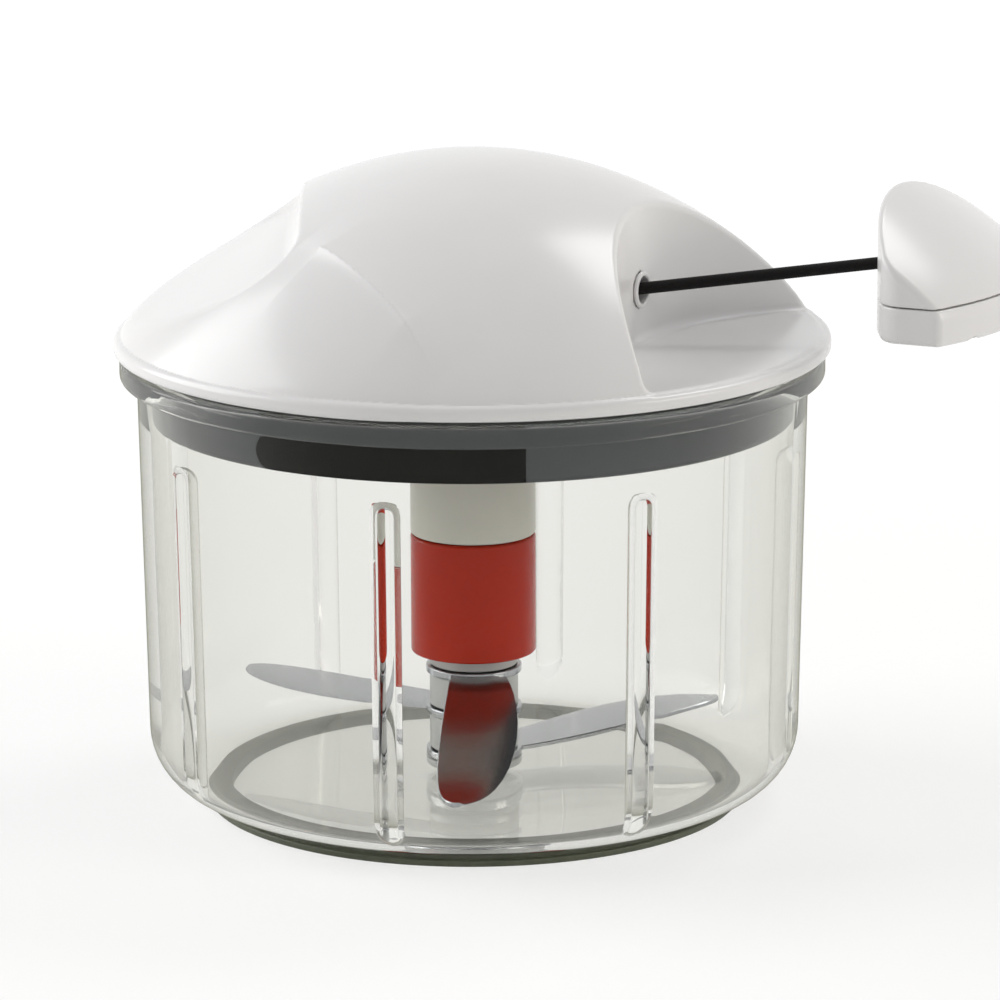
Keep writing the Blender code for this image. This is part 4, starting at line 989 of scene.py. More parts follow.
@dataclass
class Bowl:
    """Clear bowl with a rounded lip, half-round ribs inside, a dark foot ring and a steel pin."""

    bottom: float = 3.0
    top: float = 101.8
    radius: float = 75.0
    wall: float = 2.6
    floor: float = 2.2
    draft: float = 0.02
    foot_radius: float = 59.0
    lip_radius: float = 78.7
    lip_height: float = 4.6
    lip_round: float = 1.0
    inner_corner: float = 11.0
    boss_radius: float = 6.0
    boss_height: float = 1.1
    boss_blend: float = 8.0
    rib_count: int = 8
    rib_radius: float = 3.35
    rib_top: float = 84.2
    # The mesh's columns stand close together out to this many half widths of a rib
    rib_reach: float = 1.25
    first_rib_degrees: float = -150.0
    ring_radius: float = 59.2
    ring_width: float = 4.6
    ring_step: float = 1.2
    ring_gap: float = 0.1
    pin_radius: float = 2.5
    pin_height: float = 24.0
    pin_play: float = 0.3
    pin_sunk: float = 3.7
    pin_bore_depth: float = 4.0

    @property
    def boss_top(self) -> float:
        """Height of the boss that holds the pin."""
        return self.bottom + self.floor + self.boss_height

    def wall_radius(self, height: float) -> float:
        """Outer radius of the drafted wall at a height."""
        return self.radius - self.draft * (self.top - height)

    def outer_outline(self) -> Outline:
        """Draw the outer face from the axis under the floor up to the lip's inner top edge.

        Returns:
            The outline's points.
        """
        corner = self.wall_radius(self.bottom) - self.foot_radius
        centre = (self.wall_radius(self.bottom + corner) - corner, self.bottom + corner)
        points: Outline = [(0.0, self.bottom), *arc(centre, corner, -QUARTER, 0.0, steps=12)]
        lip_bottom = self.top - self.lip_height
        for height in np.linspace(centre[1] + 6, lip_bottom - 1.2, 10):
            points.append((self.wall_radius(height), float(height)))
        wall_top = self.wall_radius(lip_bottom)
        lip = rounded(
            [
                (wall_top, lip_bottom - 6, 0),
                (wall_top, lip_bottom, 1.0),
                (self.lip_radius, lip_bottom, self.lip_round),
                (self.lip_radius, self.top, self.lip_round),
                (self.radius - self.wall, self.top, 0.5),
                (self.radius - self.wall, self.top - 8, 0),
            ]
        )
        return points + lip[1:-1]

    def inner_outline(self) -> Outline:
        """Draw the inner face from the lip down to the pin's boss, with close rows at the ribs' round tops.

        Returns:
            The outline's points.
        """
        inner_top = self.radius - self.wall
        floor_top = self.bottom + self.floor
        foot = floor_top + self.inner_corner
        heights = [self.top - 4, self.top - 10, self.rib_top + 1]
        heights += [self.rib_top - 0.25 * step**1.35 for step in range(12)]
        heights += list(np.linspace(self.rib_top - 8, foot + 0.5, 16))
        points: Outline = []
        for height in heights:
            points.append((inner_top - self.draft * (self.top - height), float(height)))
        foot_radius = inner_top - self.draft * (self.top - foot)
        points += arc((foot_radius - self.inner_corner, foot), self.inner_corner, 0.0, -QUARTER, steps=16)
        bore = self.pin_radius + self.pin_play
        boss = rounded(
            [
                (self.boss_radius + self.boss_blend, floor_top, 0),
                (self.boss_radius, floor_top, 1.0),
                (self.boss_radius, self.boss_top, 0.6),
                (bore, self.boss_top, 0.2),
                (bore, self.boss_top - self.pin_bore_depth, 0),
                (0.0, self.boss_top - self.pin_bore_depth, 0),
            ]
        )
        return points + boss

    def angles(self) -> np.ndarray:
        """Set out the angles of the mesh's columns, crowded at the ribs.

        Returns:
            The angles in radians.
        """
        pitch = math.tau / self.rib_count
        half = math.asin(self.rib_radius / (self.radius - self.wall))
        edge = half * self.rib_reach
        spread = [half * math.sin(QUARTER * step / 8) for step in range(-8, 9)]
        between = np.linspace(edge, pitch - edge, 16)[1:-1]
        one_rib = np.concatenate([[-edge, *spread, edge], between])
        first = math.radians(self.first_rib_degrees)
        return np.concatenate([first + pitch * rib + one_rib for rib in range(self.rib_count)])

    def rib_height(self, angle: float, height: float) -> float:
        """Measure how far a rib stands in from the wall.

        Args:
            angle: Angle about the bowl's axis.
            height: Height above the table.

        Returns:
            The rib's height off the wall, 0 between the ribs and above them.
        """
        pitch = math.tau / self.rib_count
        first = math.radians(self.first_rib_degrees)
        offset = (angle - first + pitch / 2) % pitch - pitch / 2
        across = offset * (self.radius - self.wall)
        above = max(0.0, height - (self.rib_top - self.rib_radius))
        return math.sqrt(max(0.0, self.rib_radius**2 - across**2 - above**2))

    def shell(self) -> bpy.types.Object:
        """Build the bowl's closed clear body.

        Returns:
            The body.
        """
        outer = self.outer_outline()
        outline = outer + self.inner_outline()

        def reach(place: int, angle: float) -> float:
            """Radius of the shell; inside the bowl the ribs draw it in.

            Args:
                place: Place in the outline.
                angle: Angle about the bowl's axis.

            Returns:
                The radius there.
            """
            radius, height = outline[place]
            if place < len(outer):
                return radius
            return min(radius, self.wall_radius(height) - self.wall - self.rib_height(angle, height))

        vertices, rings = ring_points(outline, self.angles(), reach)
        return make_object("bowl_shell", vertices, bridge(rings), sharp_angle=50)

    def foot_ring(self) -> bpy.types.Object:
        """Build the anti-slip ring, whose lower half stands further out.

        Returns:
            The ring.
        """
        outer, inner = self.ring_radius, self.ring_radius - self.ring_width
        top, step = self.bottom - self.ring_gap, self.ring_step
        ring = rounded(
            [
                (inner, 0, 0.5),
                (outer + step, 0, 0.3),
                (outer + step, top / 2, 0.35),
                (outer, top / 2, 0.15),
                (outer, top, 0.3),
                (inner, top, 0.2),
            ]
        )
        return turned("foot_ring_band", ring, sides=192)

    def pin(self) -> bpy.types.Object:
        """Build the steel pin with its round end.

        Returns:
            The pin.
        """
        low, high = self.boss_top - self.pin_sunk, self.boss_top + self.pin_height
        end = arc((0.0, high - self.pin_radius), self.pin_radius, 0.0, QUARTER, steps=8)
        outline = [(0.0, low), (self.pin_radius, low), *end[:-1], (0.0, high)]
        return turned("pivot_pin_rod", outline, sides=48)

    def build(self) -> None:
        """Build the bowl, its foot ring and its pin."""
        place_piece(self.shell(), Look.CLEAR_SAN, Body.BOWL, Slot.CLEAR, "bowl")
        # The foot ring's finish is dark rubber whose tone also carries painted shade for the bowl's
        # shadowed base
        place_piece(self.foot_ring(), Look.FOOT_RUBBER_AND_PAINTED_SHADE, Body.BOWL, Slot.DARK_RUBBER, "foot_ring")
        place_piece(self.pin(), Look.TURNED_STEEL, Body.BOWL, Slot.STEEL, "pivot_pin")


@dataclass
class LidForm:
    """The lid's shape as distance fields: dome, rim band, handle notch and finger scoop."""

    rim: float = 104.0
    edge: float = 103.4
    edge_inset: float = 0.3
    radius: float = 80.0
    wall: float = 2.2
    floor_wall: float = 1.6
    dome_radius: float = 78.4
    dome_rise: float = 2.8
    dome_height: float = 40.0
    fullness: float = 0.85
    notch_rise: float = 3.0
    notch_radius: float = 65.0
    notch_x: float = 96.3
    notch_y: float = -42.0
    notch_fillet: float = 2.0
    notch_edge: float = 1.2
    scoop_x: float = -38.0
    scoop_half: float = 40.0
    scoop_corner: float = 13.0
    scoop_rise: float = 25.1
    scoop_slope: float = math.radians(26.8)
    scoop_fillet: float = 4.0
    scoop_edge: float = 1.0
    # The crease is a sharp line on a wide swell; the rounding keeps the line's top just off a knife edge
    crease_start: tuple[float, float] = (-37.0, -32.8)
    crease_end: tuple[float, float] = (-7.4, -74.8)
    crease_height: float = 0.7
    crease_width: float = 1.8
    crease_swell: float = 0.9
    crease_spread: float = 9.0
    crease_round: float = 0.15
    crease_rise: float = 8.0
    crease_fall: float = 12.0
    # Where the open form ends below, and the radii and heights that the tables cover
    open_bottom: float = 60.0
    table_low: tuple[float, float] = (-2.0, 84.0)
    table_high: tuple[float, float] = (86.0, 152.0)
    # Where the search for the underside starts, and its step
    search_top: float = 150.0
    search_step: float = 0.1
    outer: Field = field(init=False, repr=False)
    hollow: Field = field(init=False, repr=False)

    def __post_init__(self) -> None:
        """Tabulate the turned profile, closed at the rim's edge and open below."""
        profile = self.profile()
        mirrored = [(-x, z) for x, z in reversed(profile[1:])]
        inset = self.radius - self.edge_inset
        closed = [*profile, (inset, self.edge), (-inset, self.edge), *mirrored]
        self.outer = profile_field(closed, self.table_low, self.table_high)
        bottom = self.open_bottom
        open_below = [*profile, (self.radius, bottom), (-self.radius, bottom), *mirrored]
        self.hollow = profile_field(open_below, self.table_low, self.table_high)

    def dome(self, radius: float) -> float:
        """Height of the dome at a radius."""
        share = max(0.0, 1 - (radius / self.dome_radius) ** 2)
        return self.rim + self.dome_rise + self.dome_height * share**self.fullness

    def profile(self) -> Outline:
        """Draw the outer face from the top of the dome to the widest point of the rim.

        Returns:
            The outline's points.
        """
        radii = [self.dome_radius * math.sin(QUARTER * step / 80) for step in range(81)]
        shoulder = self.radius - self.dome_radius
        centre = (self.dome_radius, self.rim + self.dome_rise - shoulder)
        points: Outline = [(radius, self.dome(radius)) for radius in radii]
        return [*points, *arc(centre, shoulder, QUARTER, 0.0, steps=8)[1:], (self.radius, self.rim)]

    def notch(self, points: np.ndarray, grow: float = 0.0) -> np.ndarray:
        """Measure the handle notch.

        Args:
            points: Points, one to a row.
            grow: How far the notch's wall is moved outwards; its floor moves in proportion to its wall.

        Returns:
            The signed distance, negative in the notch.
        """
        x, y, z = points.T
        plan = np.hypot(x - self.notch_x, y - self.notch_y) - self.notch_radius - grow
        down = grow * self.floor_wall / self.wall
        return round_intersection(plan, self.rim + self.notch_rise - down - z, self.notch_fillet + grow)

    def scoop(self, points: np.ndarray, grow: float = 0.0) -> np.ndarray:
        """Measure the finger scoop.

        Args:
            points: Points, one to a row.
            grow: How far the scoop's faces are moved outwards.

        Returns:
            The signed distance, negative in the scoop.
        """
        x, y, z = points.T
        back, sides = x - self.scoop_x - grow, np.abs(y) - self.scoop_half - grow
        plan = round_intersection(back, sides, self.scoop_corner + grow)
        floor = self.rim + self.scoop_rise + (x - self.scoop_x) * math.tan(self.scoop_slope)
        above = (floor - z) * math.cos(self.scoop_slope) - grow
        return round_intersection(plan, above, self.scoop_fillet + grow)

    def crease(self, points: np.ndarray) -> np.ndarray:
        """Measure the soft crease that runs from the scoop's front corner down to the rim.

        Args:
            points: Points, one to a row.

        Returns:
            The crease's height off the dome.
        """
        start = np.array(self.crease_start)
        way = np.array(self.crease_end) - start
        length = float(np.linalg.norm(way))
        way /= length
        off = points[:, :2] - start
        along = off @ way
        across = np.hypot(off @ np.array((-way[1], way[0])), self.crease_round)
        fade = np.clip(along / self.crease_rise, 0, 1) * np.clip((length - along) / self.crease_fall, 0, 1)
        line = self.crease_height * np.exp(-across / self.crease_width)
        swell = self.crease_swell * np.exp(-across / self.crease_spread)
        return fade * (line + swell)

    def body(self, points: np.ndarray) -> np.ndarray:
        """Measure the lid's outer shape, filled inside.

        Args:
            points: Points, one to a row.

        Returns:
            The signed distance.
        """
        raised = self.outer(about_axis(points)) - self.crease(points)
        solid = round_intersection(raised, -self.notch(points), self.notch_edge)
        return round_intersection(solid, -self.scoop(points), self.scoop_edge)

    def shell(self, points: np.ndarray) -> np.ndarray:
        """Measure the lid's moulded wall.

        Args:
            points: Points, one to a row.

        Returns:
            The signed distance.
        """
        void = self.hollow(about_axis(points)) + self.wall
        void = np.maximum(void, -self.notch(points, self.wall))
        void = np.maximum(void, -self.scoop(points, self.wall))
        return np.maximum(self.body(points), -void)

    def ceiling(self, x: float, y: float, depth: float) -> float:
        """Find the greatest height at a plan position that lies so deep below the lid's outer face.

        Args:
            x: Plan position along X.
            y: Plan position along Y.
            depth: Depth below the outer face.

        Returns:
            The height.
        """
        heights = np.arange(self.search_top, self.rim, -self.search_step)
        column = np.stack([np.full_like(heights, x), np.full_like(heights, y), heights], 1)
        return float(heights[np.argmax(self.body(column) <= -depth)])


@dataclass
class CordLine:
    """Where the pull cord runs: from the drum through the notch wall to the handle."""

    form: LidForm
    winding_radius: float = 15.0
    radius: float = 1.35
    pull_angle: float = math.radians(6)
    height: float = 117.075
    eyelet_height: float = 118.8
    pulled_out: float = 55.0
    pocket_inset: float = 7.4
    handle_clearance: float = 1.5

    @property
    def way(self) -> np.ndarray:
        """Direction of the pull."""
        return np.array((math.cos(self.pull_angle), 0.0, math.sin(self.pull_angle)))

    @property
    def start(self) -> np.ndarray:
        """Point where the cord leaves the drum."""
        return np.array((0.0, -self.winding_radius, self.height))

    @property
    def wall_normal(self) -> np.ndarray:
        """Direction away from the notch's wall where the cord comes out.

        Returns:
            The normal, of length 1.
        """
        off = self.form.notch_y + self.winding_radius
        along = math.sqrt(self.form.notch_radius**2 - off**2)
        return np.array((along, off, 0.0)) / self.form.notch_radius

    def crossing(self, depth: float) -> np.ndarray:
        """Find the cord's place in the notch wall.

        Args:
            depth: Depth below the wall's face.

        Returns:
            The point of the cord's line at that depth.
        """
        middle = self.wall_reach(self.form.wall / 2)
        bend = np.array((middle, -self.winding_radius, self.eyelet_height))
        return bend + self.way * (self.wall_reach(depth) - middle) / self.way[0]

    def wall_reach(self, depth: float) -> float:
        """How far out the notch's wall stands at the cord's place, at a depth below its face."""
        off = self.form.notch_y + self.winding_radius
        return self.form.notch_x - math.sqrt((self.form.notch_radius + depth) ** 2 - off**2)

    def eyelet(self) -> np.ndarray:
        """Middle of the eyelet on the wall's outer face."""
        depth = self.form.wall / 2
        return self.crossing(depth) + self.wall_normal * depth

    def knot(self) -> np.ndarray:
        """Middle of the cord's stop in the docked handle."""
        return self.crossing(-self.handle_clearance) + self.way * self.pocket_inset


@dataclass
class Lid:
    """White domed cover with its eyelet, bosses and the dark grey frame below it."""

    form: LidForm
    line: CordLine
    cell: float = 0.7
    sampled_low: Place = (-82, -82, 101.5)
    sampled_high: Place = (82, 82, 148)
    boss_circle: float = 60.0
    boss_radius: float = 4.5
    boss_bore: float = 1.6
    boss_foot: float = 90.6
    first_boss_degrees: float = 48.0
    bearing_radius: float = 8.5
    bearing_bore: float = 6.3
    bearing_foot: float = 123.9
    # How far below the dome's top the bearing boss ends, within the wall
    bearing_inset: float = 1.0
    eyelet_bore: float = 3.0
    eyelet_wall: float = 0.6
    eyelet_reach: float = 0.5
    eyelet_seat: float = 0.3
    eyelet_height: float = 1.0
    eyelet_tail: float = 1.4
    hole_play: float = 0.3
    hole_depth: float = 6.0
    plate_bottom: float = 88.1
    plate_top: float = 90.3
    skirt_radius: float = 71.1
    skirt_wall: float = 2.0
    flange_radius: float = 76.6
    flange_bottom: float = 103.7
    flange_top: float = 105.0
    case_outer: float = 27.2
    case_inner: float = 25.5
    case_height: float = 10.2
    bush_boss: float = 9.4
    bush_bore: float = 6.9
    bush_height: float = 2.2
    inlay_low: float = 88.5
    inlay_high: float = 96.4
    inlay_start: float = math.radians(-130.0)
    inlay_end: float = math.radians(-81.0)
    inlay_proud: float = 0.12
    inlay_sunk: float = 0.6
    # Half height that the strip keeps at its round end, so that no face closes up
    inlay_tip: float = 0.15
    seal_inner: float = 72.5
    seal_outer: float = 77.0
    seal_low: float = 102.1
    seal_high: float = 103.4

    def cover_field(self, points: np.ndarray) -> np.ndarray:
        """Measure the cover with the eyelet's hole in it.

        Args:
            points: Points, one to a row.

        Returns:
            The signed distance.
        """
        along, off_axis = from_line(points, self.line.eyelet(), self.line.wall_normal)
        hole_radius = self.eyelet_bore + self.eyelet_wall + self.hole_play
        hole = np.maximum(off_axis - hole_radius, np.abs(along) - self.hole_depth)
        return np.maximum(self.form.shell(points), -hole)

    def bosses(self) -> list[bpy.types.Object]:
        """Build the screw bosses, cut to the dome's underside, and the bearing boss.

        Returns:
            The bosses.
        """
        made = []
        fillets = (0.2, 0.4, 0, 0)
        high = self.form.rim + self.form.dome_height
        outline = ring_section(self.boss_bore, self.boss_radius, self.boss_foot, high, fillets)
        for place in range(4):
            angle = math.radians(self.first_boss_degrees + 90 * place)
            at = (self.boss_circle * math.cos(angle), self.boss_circle * math.sin(angle))
            boss = turned(f"boss_{place}", outline, sides=32, axis_at=at)
            for corner in boss.data.vertices:
                if corner.co.z > self.form.rim * MM:
                    x, y = corner.co.x / MM, corner.co.y / MM
                    corner.co.z = self.form.ceiling(x, y, self.form.floor_wall / 2) * MM
            made.append(boss)
        top = self.form.rim + self.form.dome_rise + self.form.dome_height - self.bearing_inset
        outline = ring_section(self.bearing_bore, self.bearing_radius, self.bearing_foot, top, fillets)
        made.append(turned("bearing_boss", outline, sides=48))
        return made

    def eyelet(self) -> bpy.types.Object:
        """Build the flanged eyelet, square to the notch wall.

        Returns:
            The eyelet.
        """
        outer = self.eyelet_bore + self.eyelet_wall
        flange = outer + self.eyelet_reach
        tail = -self.form.wall - self.eyelet_tail
        outline = rounded(
            [
                (self.eyelet_bore, tail, 0.2),
                (outer, tail, 0.2),
                (outer, self.eyelet_seat, 0),
                (flange, self.eyelet_seat, 0.1),
                (flange, self.eyelet_height, 0.3),
                (self.eyelet_bore, self.eyelet_height, 0.35),
            ]
        )
        made = turned("cord_eyelet_ring", outline, sides=48)
        made.data.transform(aimed(self.line.eyelet() * MM, self.line.wall_normal))
        return made

    def frame_cup(self) -> bpy.types.Object:
        """Build the frame: plate, skirt, flange, spring case and bush boss in one turned piece.

        Returns:
            The frame.
        """
        skirt_inner = self.skirt_radius - self.skirt_wall
        case_top = self.plate_top + self.case_height
        boss_top = self.plate_top + self.bush_height
        outline = rounded(
            [
                (self.bush_bore, self.plate_bottom, 0.3),
                (self.skirt_radius, self.plate_bottom, 1.5),
                (self.skirt_radius, self.flange_bottom, 0.6),
                (self.flange_radius, self.flange_bottom, 0.3),
                (self.flange_radius, self.flange_top, 0.3),
                (skirt_inner, self.flange_top, 0.3),
                (skirt_inner, self.plate_top, 0.8),
                (self.case_outer, self.plate_top, 0.4),
                (self.case_outer, case_top, 0.2),
                (self.case_inner, case_top, 0.2),
                (self.case_inner, self.plate_top, 0.4),
                (self.bush_boss, self.plate_top, 0.4),
                (self.bush_boss, boss_top, 0.2),
                (self.bush_bore, boss_top, 0.2),
            ]
        )
        return turned("frame_cup", outline, sides=192)

    def inlay(self) -> bpy.types.Object:
        """Build the dark strip let into the front of the skirt, round at its left end.

        Returns:
            The strip.
        """
        half, middle = (self.inlay_high - self.inlay_low) / 2, (self.inlay_high + self.inlay_low) / 2
        columns = []
        for step in range(9):
            share = QUARTER * step / 8
            angle = self.inlay_start + half * (1 - math.cos(share)) / self.skirt_radius
            columns.append((angle, max(half * math.sin(share), self.inlay_tip)))
        straight = np.linspace(self.inlay_start + half / self.skirt_radius, self.inlay_end, 40)[1:]
        columns += [(angle, half) for angle in straight]
        outer, inner = self.skirt_radius + self.inlay_proud, self.skirt_radius - self.inlay_sunk
        vertices = []
        for angle, reach in columns:
            for radius, height in ((outer, -reach), (outer, reach), (inner, reach), (inner, -reach)):
                vertices.append((radius * math.cos(angle), radius * math.sin(angle), middle + height))
        return skin_sections("skirt_inlay_strip", vertices, sides=4)

    def build(self) -> None:
        """Build the cover, the frame and what they carry."""
        dome = surface("lid_dome", self.cover_field, self.sampled_low, self.sampled_high, self.cell)
        place_piece(dome, Look.WHITE_ABS, Body.LID, Slot.LID_WHITE, "lid_cover")
        place_piece(join("lid_bosses", self.bosses()), Look.WHITE_ABS, Body.LID, Slot.LID_WHITE)
        place_piece(self.eyelet(), Look.WHITE_ABS, Body.LID, Slot.LID_WHITE, "cord_eyelet")
        place_piece(self.frame_cup(), Look.GREY_PP, Body.LID, Slot.FRAME_GREY, "lid_frame")
        place_piece(self.inlay(), Look.BLACK_ABS, Body.LID, Slot.DARK_PLASTIC, "skirt_inlay")
        outline = ring_section(self.seal_inner, self.seal_outer, self.seal_low, self.seal_high, (0.5,) * 4)
        seal = turned("lid_seal_ring", outline, sides=192)
        place_piece(seal, Look.RUBBER, Body.LID, Slot.DARK_RUBBER, "lid_seal")
        for place in range(1, 5):
            dress_node(f"lid_screw_{place}", Look.TURNED_STEEL)
        for place in range(1, 4):
            dress_node(f"cover_screw_{place}", Look.TURNED_STEEL)
        dress_node("spring_cover", Look.HUB_PP)
        dress_node("lower_bush", Look.BRONZE)
        dress_node("upper_bush", Look.BRONZE)
        dress_node("recoil_spring", Look.SPRING_STEEL)


@dataclass
class Drive:
    """Cord drum, spindle and the white socket under the lid."""

    radius: float = 14.1
    bottom: float = 60.8
    top: float = 87.0
    key_radius: float = 8.4
    key_depth: float = 11.9

    def socket(self) -> bpy.types.Object:
        """Build the white sleeve with its six-sided socket open below.

        Returns:
            The sleeve.
        """
        key_floor = self.bottom + self.key_depth
        outer = rounded(
            [
                (self.key_radius, self.bottom, 0),
                (self.radius, self.bottom, 0.5),
                (self.radius, self.top, 0.8),
                (0.0, self.top, 0),
            ]
        )
        outline = [(0.0, key_floor), (self.key_radius, key_floor), *outer]
        sector = math.tau / KEY_SIDES

        def reach(place: int, angle: float) -> float:
            """Radius of the sleeve; the socket's own rings are six-sided.

            Args:
                place: Place in the outline.
                angle: Angle about the spindle's axis.

            Returns:
                The radius there.
            """
            radius = outline[place][0]
            if radius != self.key_radius:
                return radius
            return radius * math.cos(sector / 2) / math.cos(angle % sector - sector / 2)

        vertices, rings = ring_points(outline, round_turn(96), reach)
        return make_object("drive_socket_sleeve", vertices, bridge(rings))

    def build(self) -> None:
        """Build the socket and dress the drum and spindle."""
        place_piece(self.socket(), Look.SOCKET_ABS, Body.DRIVE, Slot.LID_WHITE, "drive_socket")
        dress_node("cord_drum", Look.HUB_PP)
        dress_node("cord_winding", Look.CORD)
        dress_node("drive_spindle", Look.TURNED_STEEL)


@dataclass
class BladeUnit:
    """Hub, three staggered blades, their spacers and the red sleeve."""

    foot: float = 7.1
    foot_height: float = 1.8
    foot_radius: float = 10.8
    hub_radius: float = 7.1
    hub_bore: float = 4.6
    hub_bore_top: float = 32.4
    hub_in_sleeve: float = 14.5
    # Play between the hub and what it carries, and between one piece of the stack and the next
    play: float = 0.3
    spacer_radius: float = 10.0
    root_radius: float = 10.8
    root_thickness: float = 1.6
    root_inset: float = 0.3
    thickness: float = 1.0
    reach: float = 63.0
    chord: float = 17.0
    # Share of the chord that a blade keeps at its root
    root_chord: float = 0.72
    sweep: float = 9.0
    bevel: float = 3.0
    # The ground edge is a flat of 0.1 mm at mid thickness; the back's edges are broken
    edge_low: float = 0.45
    edge_high: float = 0.55
    back_inset: float = 0.2
    back_chamfer: float = 0.15
    sleeve_radius: float = 14.1
    sleeve_low: float = 33.4
    sleeve_high: float = 60.5
    sleeve_depth: float = 14.8
    key_radius: float = 8.0
    key_length: float = 11.5
    key_overlap: float = 1.0
    key_chamfer: float = 0.6
    key_inset: float = 0.5

    @property
    def bore(self) -> float:
        """Inner radius of what the hub carries."""
        return self.hub_radius + self.play

    def leaf(self, name: str, level: float, degrees: float, lift: float) -> bpy.types.Object:
        """Build one curved blade with its ground edge and its root ring.

        Args:
            name: Name of the piece.
            level: Lower face of the root ring.
            degrees: Direction of the root.
            lift: How far the tip lies above the root.

        Returns:
            The blade.
        """
        root = (self.bore + self.root_radius) / 2
        # Places of the sections from the root to the tip, closer together at the round tip
        shares = (0, 0.06, 0.12, 0.2, 0.3, 0.4, 0.5, 0.6, 0.7, 0.78, 0.85, 0.9, 0.94, 0.965, 0.985, 0.995)
        vertices = []
        for share in shares:
            x = root + (self.reach - root) * share
            middle = -self.sweep * share**2
            width = self.root_chord + (1 - self.root_chord) * math.sin(math.pi * share)
            half = self.chord / 2 * width * math.sqrt(1 - share**8)
            low = level + self.root_inset + lift * share * share * (3 - 2 * share)
            high = low + self.thickness
            back, ground = middle - half, middle + half - min(self.bevel, half)
            vertices += [
                (x, back, low + self.back_chamfer),
                (x, back + self.back_inset, low),
                (x, ground, low),
                (x, middle + half, low + self.edge_low),
                (x, middle + half, low + self.edge_high),
                (x, ground, high),
                (x, back + self.back_inset, high),
                (x, back, high - self.back_chamfer),
            ]
        blade = skin_sections(name + "_leaf", vertices, sides=8, sharp_angle=8)
        blade.data.transform(Matrix.Rotation(math.radians(degrees), 4, "Z"))
        top = level + self.root_thickness
        ring = ring_section(self.bore, self.root_radius, level, top, (0.1, 0.2, 0.2, 0.1))
        return join(name, [blade, turned(name + "_root", ring, sides=72)])

    def spacer(self, name: str, level: float, height: float) -> bpy.types.Object:
        """Build a ring that keeps two blades apart.

        Args:
            name: Name of the piece.
            level: Its lower face.
            height: Its height.

        Returns:
            The spacer.
        """
        ring = ring_section(self.bore, self.spacer_radius, level, level + height, (0.2, 0.3, 0.3, 0.2))
        return turned(name, ring, sides=72)

    def hub(self) -> bpy.types.Object:
        """Build the hub with its foot flange and the bore for its bush.

        Returns:
            The hub.
        """
        foot_top, top = self.foot + self.foot_height, self.sleeve_low + self.hub_in_sleeve
        outline = rounded(
            [
                (0.0, self.hub_bore_top, 0),
                (self.hub_bore, self.hub_bore_top, 0),
                (self.hub_bore, self.foot, 0.2),
                (self.foot_radius, self.foot, 0.6),
                (self.foot_radius, foot_top, 0.4),
                (self.hub_radius, foot_top, 0.2),
                (self.hub_radius, top, 0.4),
                (0.0, top, 0),
            ]
        )
        return turned("blade_hub_core", outline, sides=72)

    def sleeve(self) -> bpy.types.Object:
        """Build the red sleeve with a rounded edge at each end and its six-sided key.

        Returns:
            The sleeve.
        """
        low, high = self.sleeve_low, self.sleeve_high
        body = rounded(
            [
                (0.0, low + self.sleeve_depth, 0),
                (self.bore, low + self.sleeve_depth, 0),
                (self.bore, low, 0.2),
                (self.sleeve_radius, low, 0.6),
                (self.sleeve_radius, high, 0.6),
                (0.0, high, 0),
            ]
        )
        key = (
            (self.key_radius, high - self.key_overlap),
            (self.key_radius, high + self.key_length - self.key_chamfer),
            (self.key_radius - self.key_inset, high + self.key_length),
        )
        vertices, _ = ring_points(key, round_turn(KEY_SIDES))
        tube_part = turned("sleeve_body", body, sides=96)
        return join("blade_sleeve_body", [tube_part, skin_sections("sleeve_key", vertices, KEY_SIDES)])

    def build(self) -> None:
        """Build the unit from the foot up."""
        level = self.foot + self.foot_height + self.play
        # Each blade with its direction and the rise of its tip, and the spacer above it with its height
        stack = (
            ("blade_low", 35.0, 4.0, "hub_spacer_low", 7.8),
            ("blade_mid", 155.0, 0.0, "hub_spacer_mid", 7.2),
            ("blade_high", -85.0, -14.0, "hub_spacer_top", 2.6),
        )
        for blade, degrees, lift, spacer, height in stack:
            piece = self.leaf(blade + "_steel", level, degrees, lift)
            place_piece(piece, Look.BLADE_STEEL, Body.BLADES, Slot.STEEL, blade)
            level += self.root_thickness + self.play
            piece = self.spacer(spacer + "_ring", level, height)
            place_piece(piece, Look.HUB_PP, Body.BLADES, Slot.LIGHT_GREY, spacer)
            level += height + self.play
        place_piece(self.hub(), Look.HUB_PP, Body.BLADES, Slot.LIGHT_GREY, "blade_hub")
        place_piece(self.sleeve(), Look.RED_ABS, Body.BLADES, Slot.RED, "blade_sleeve")
        dress_node("hub_bush", Look.BRONZE)


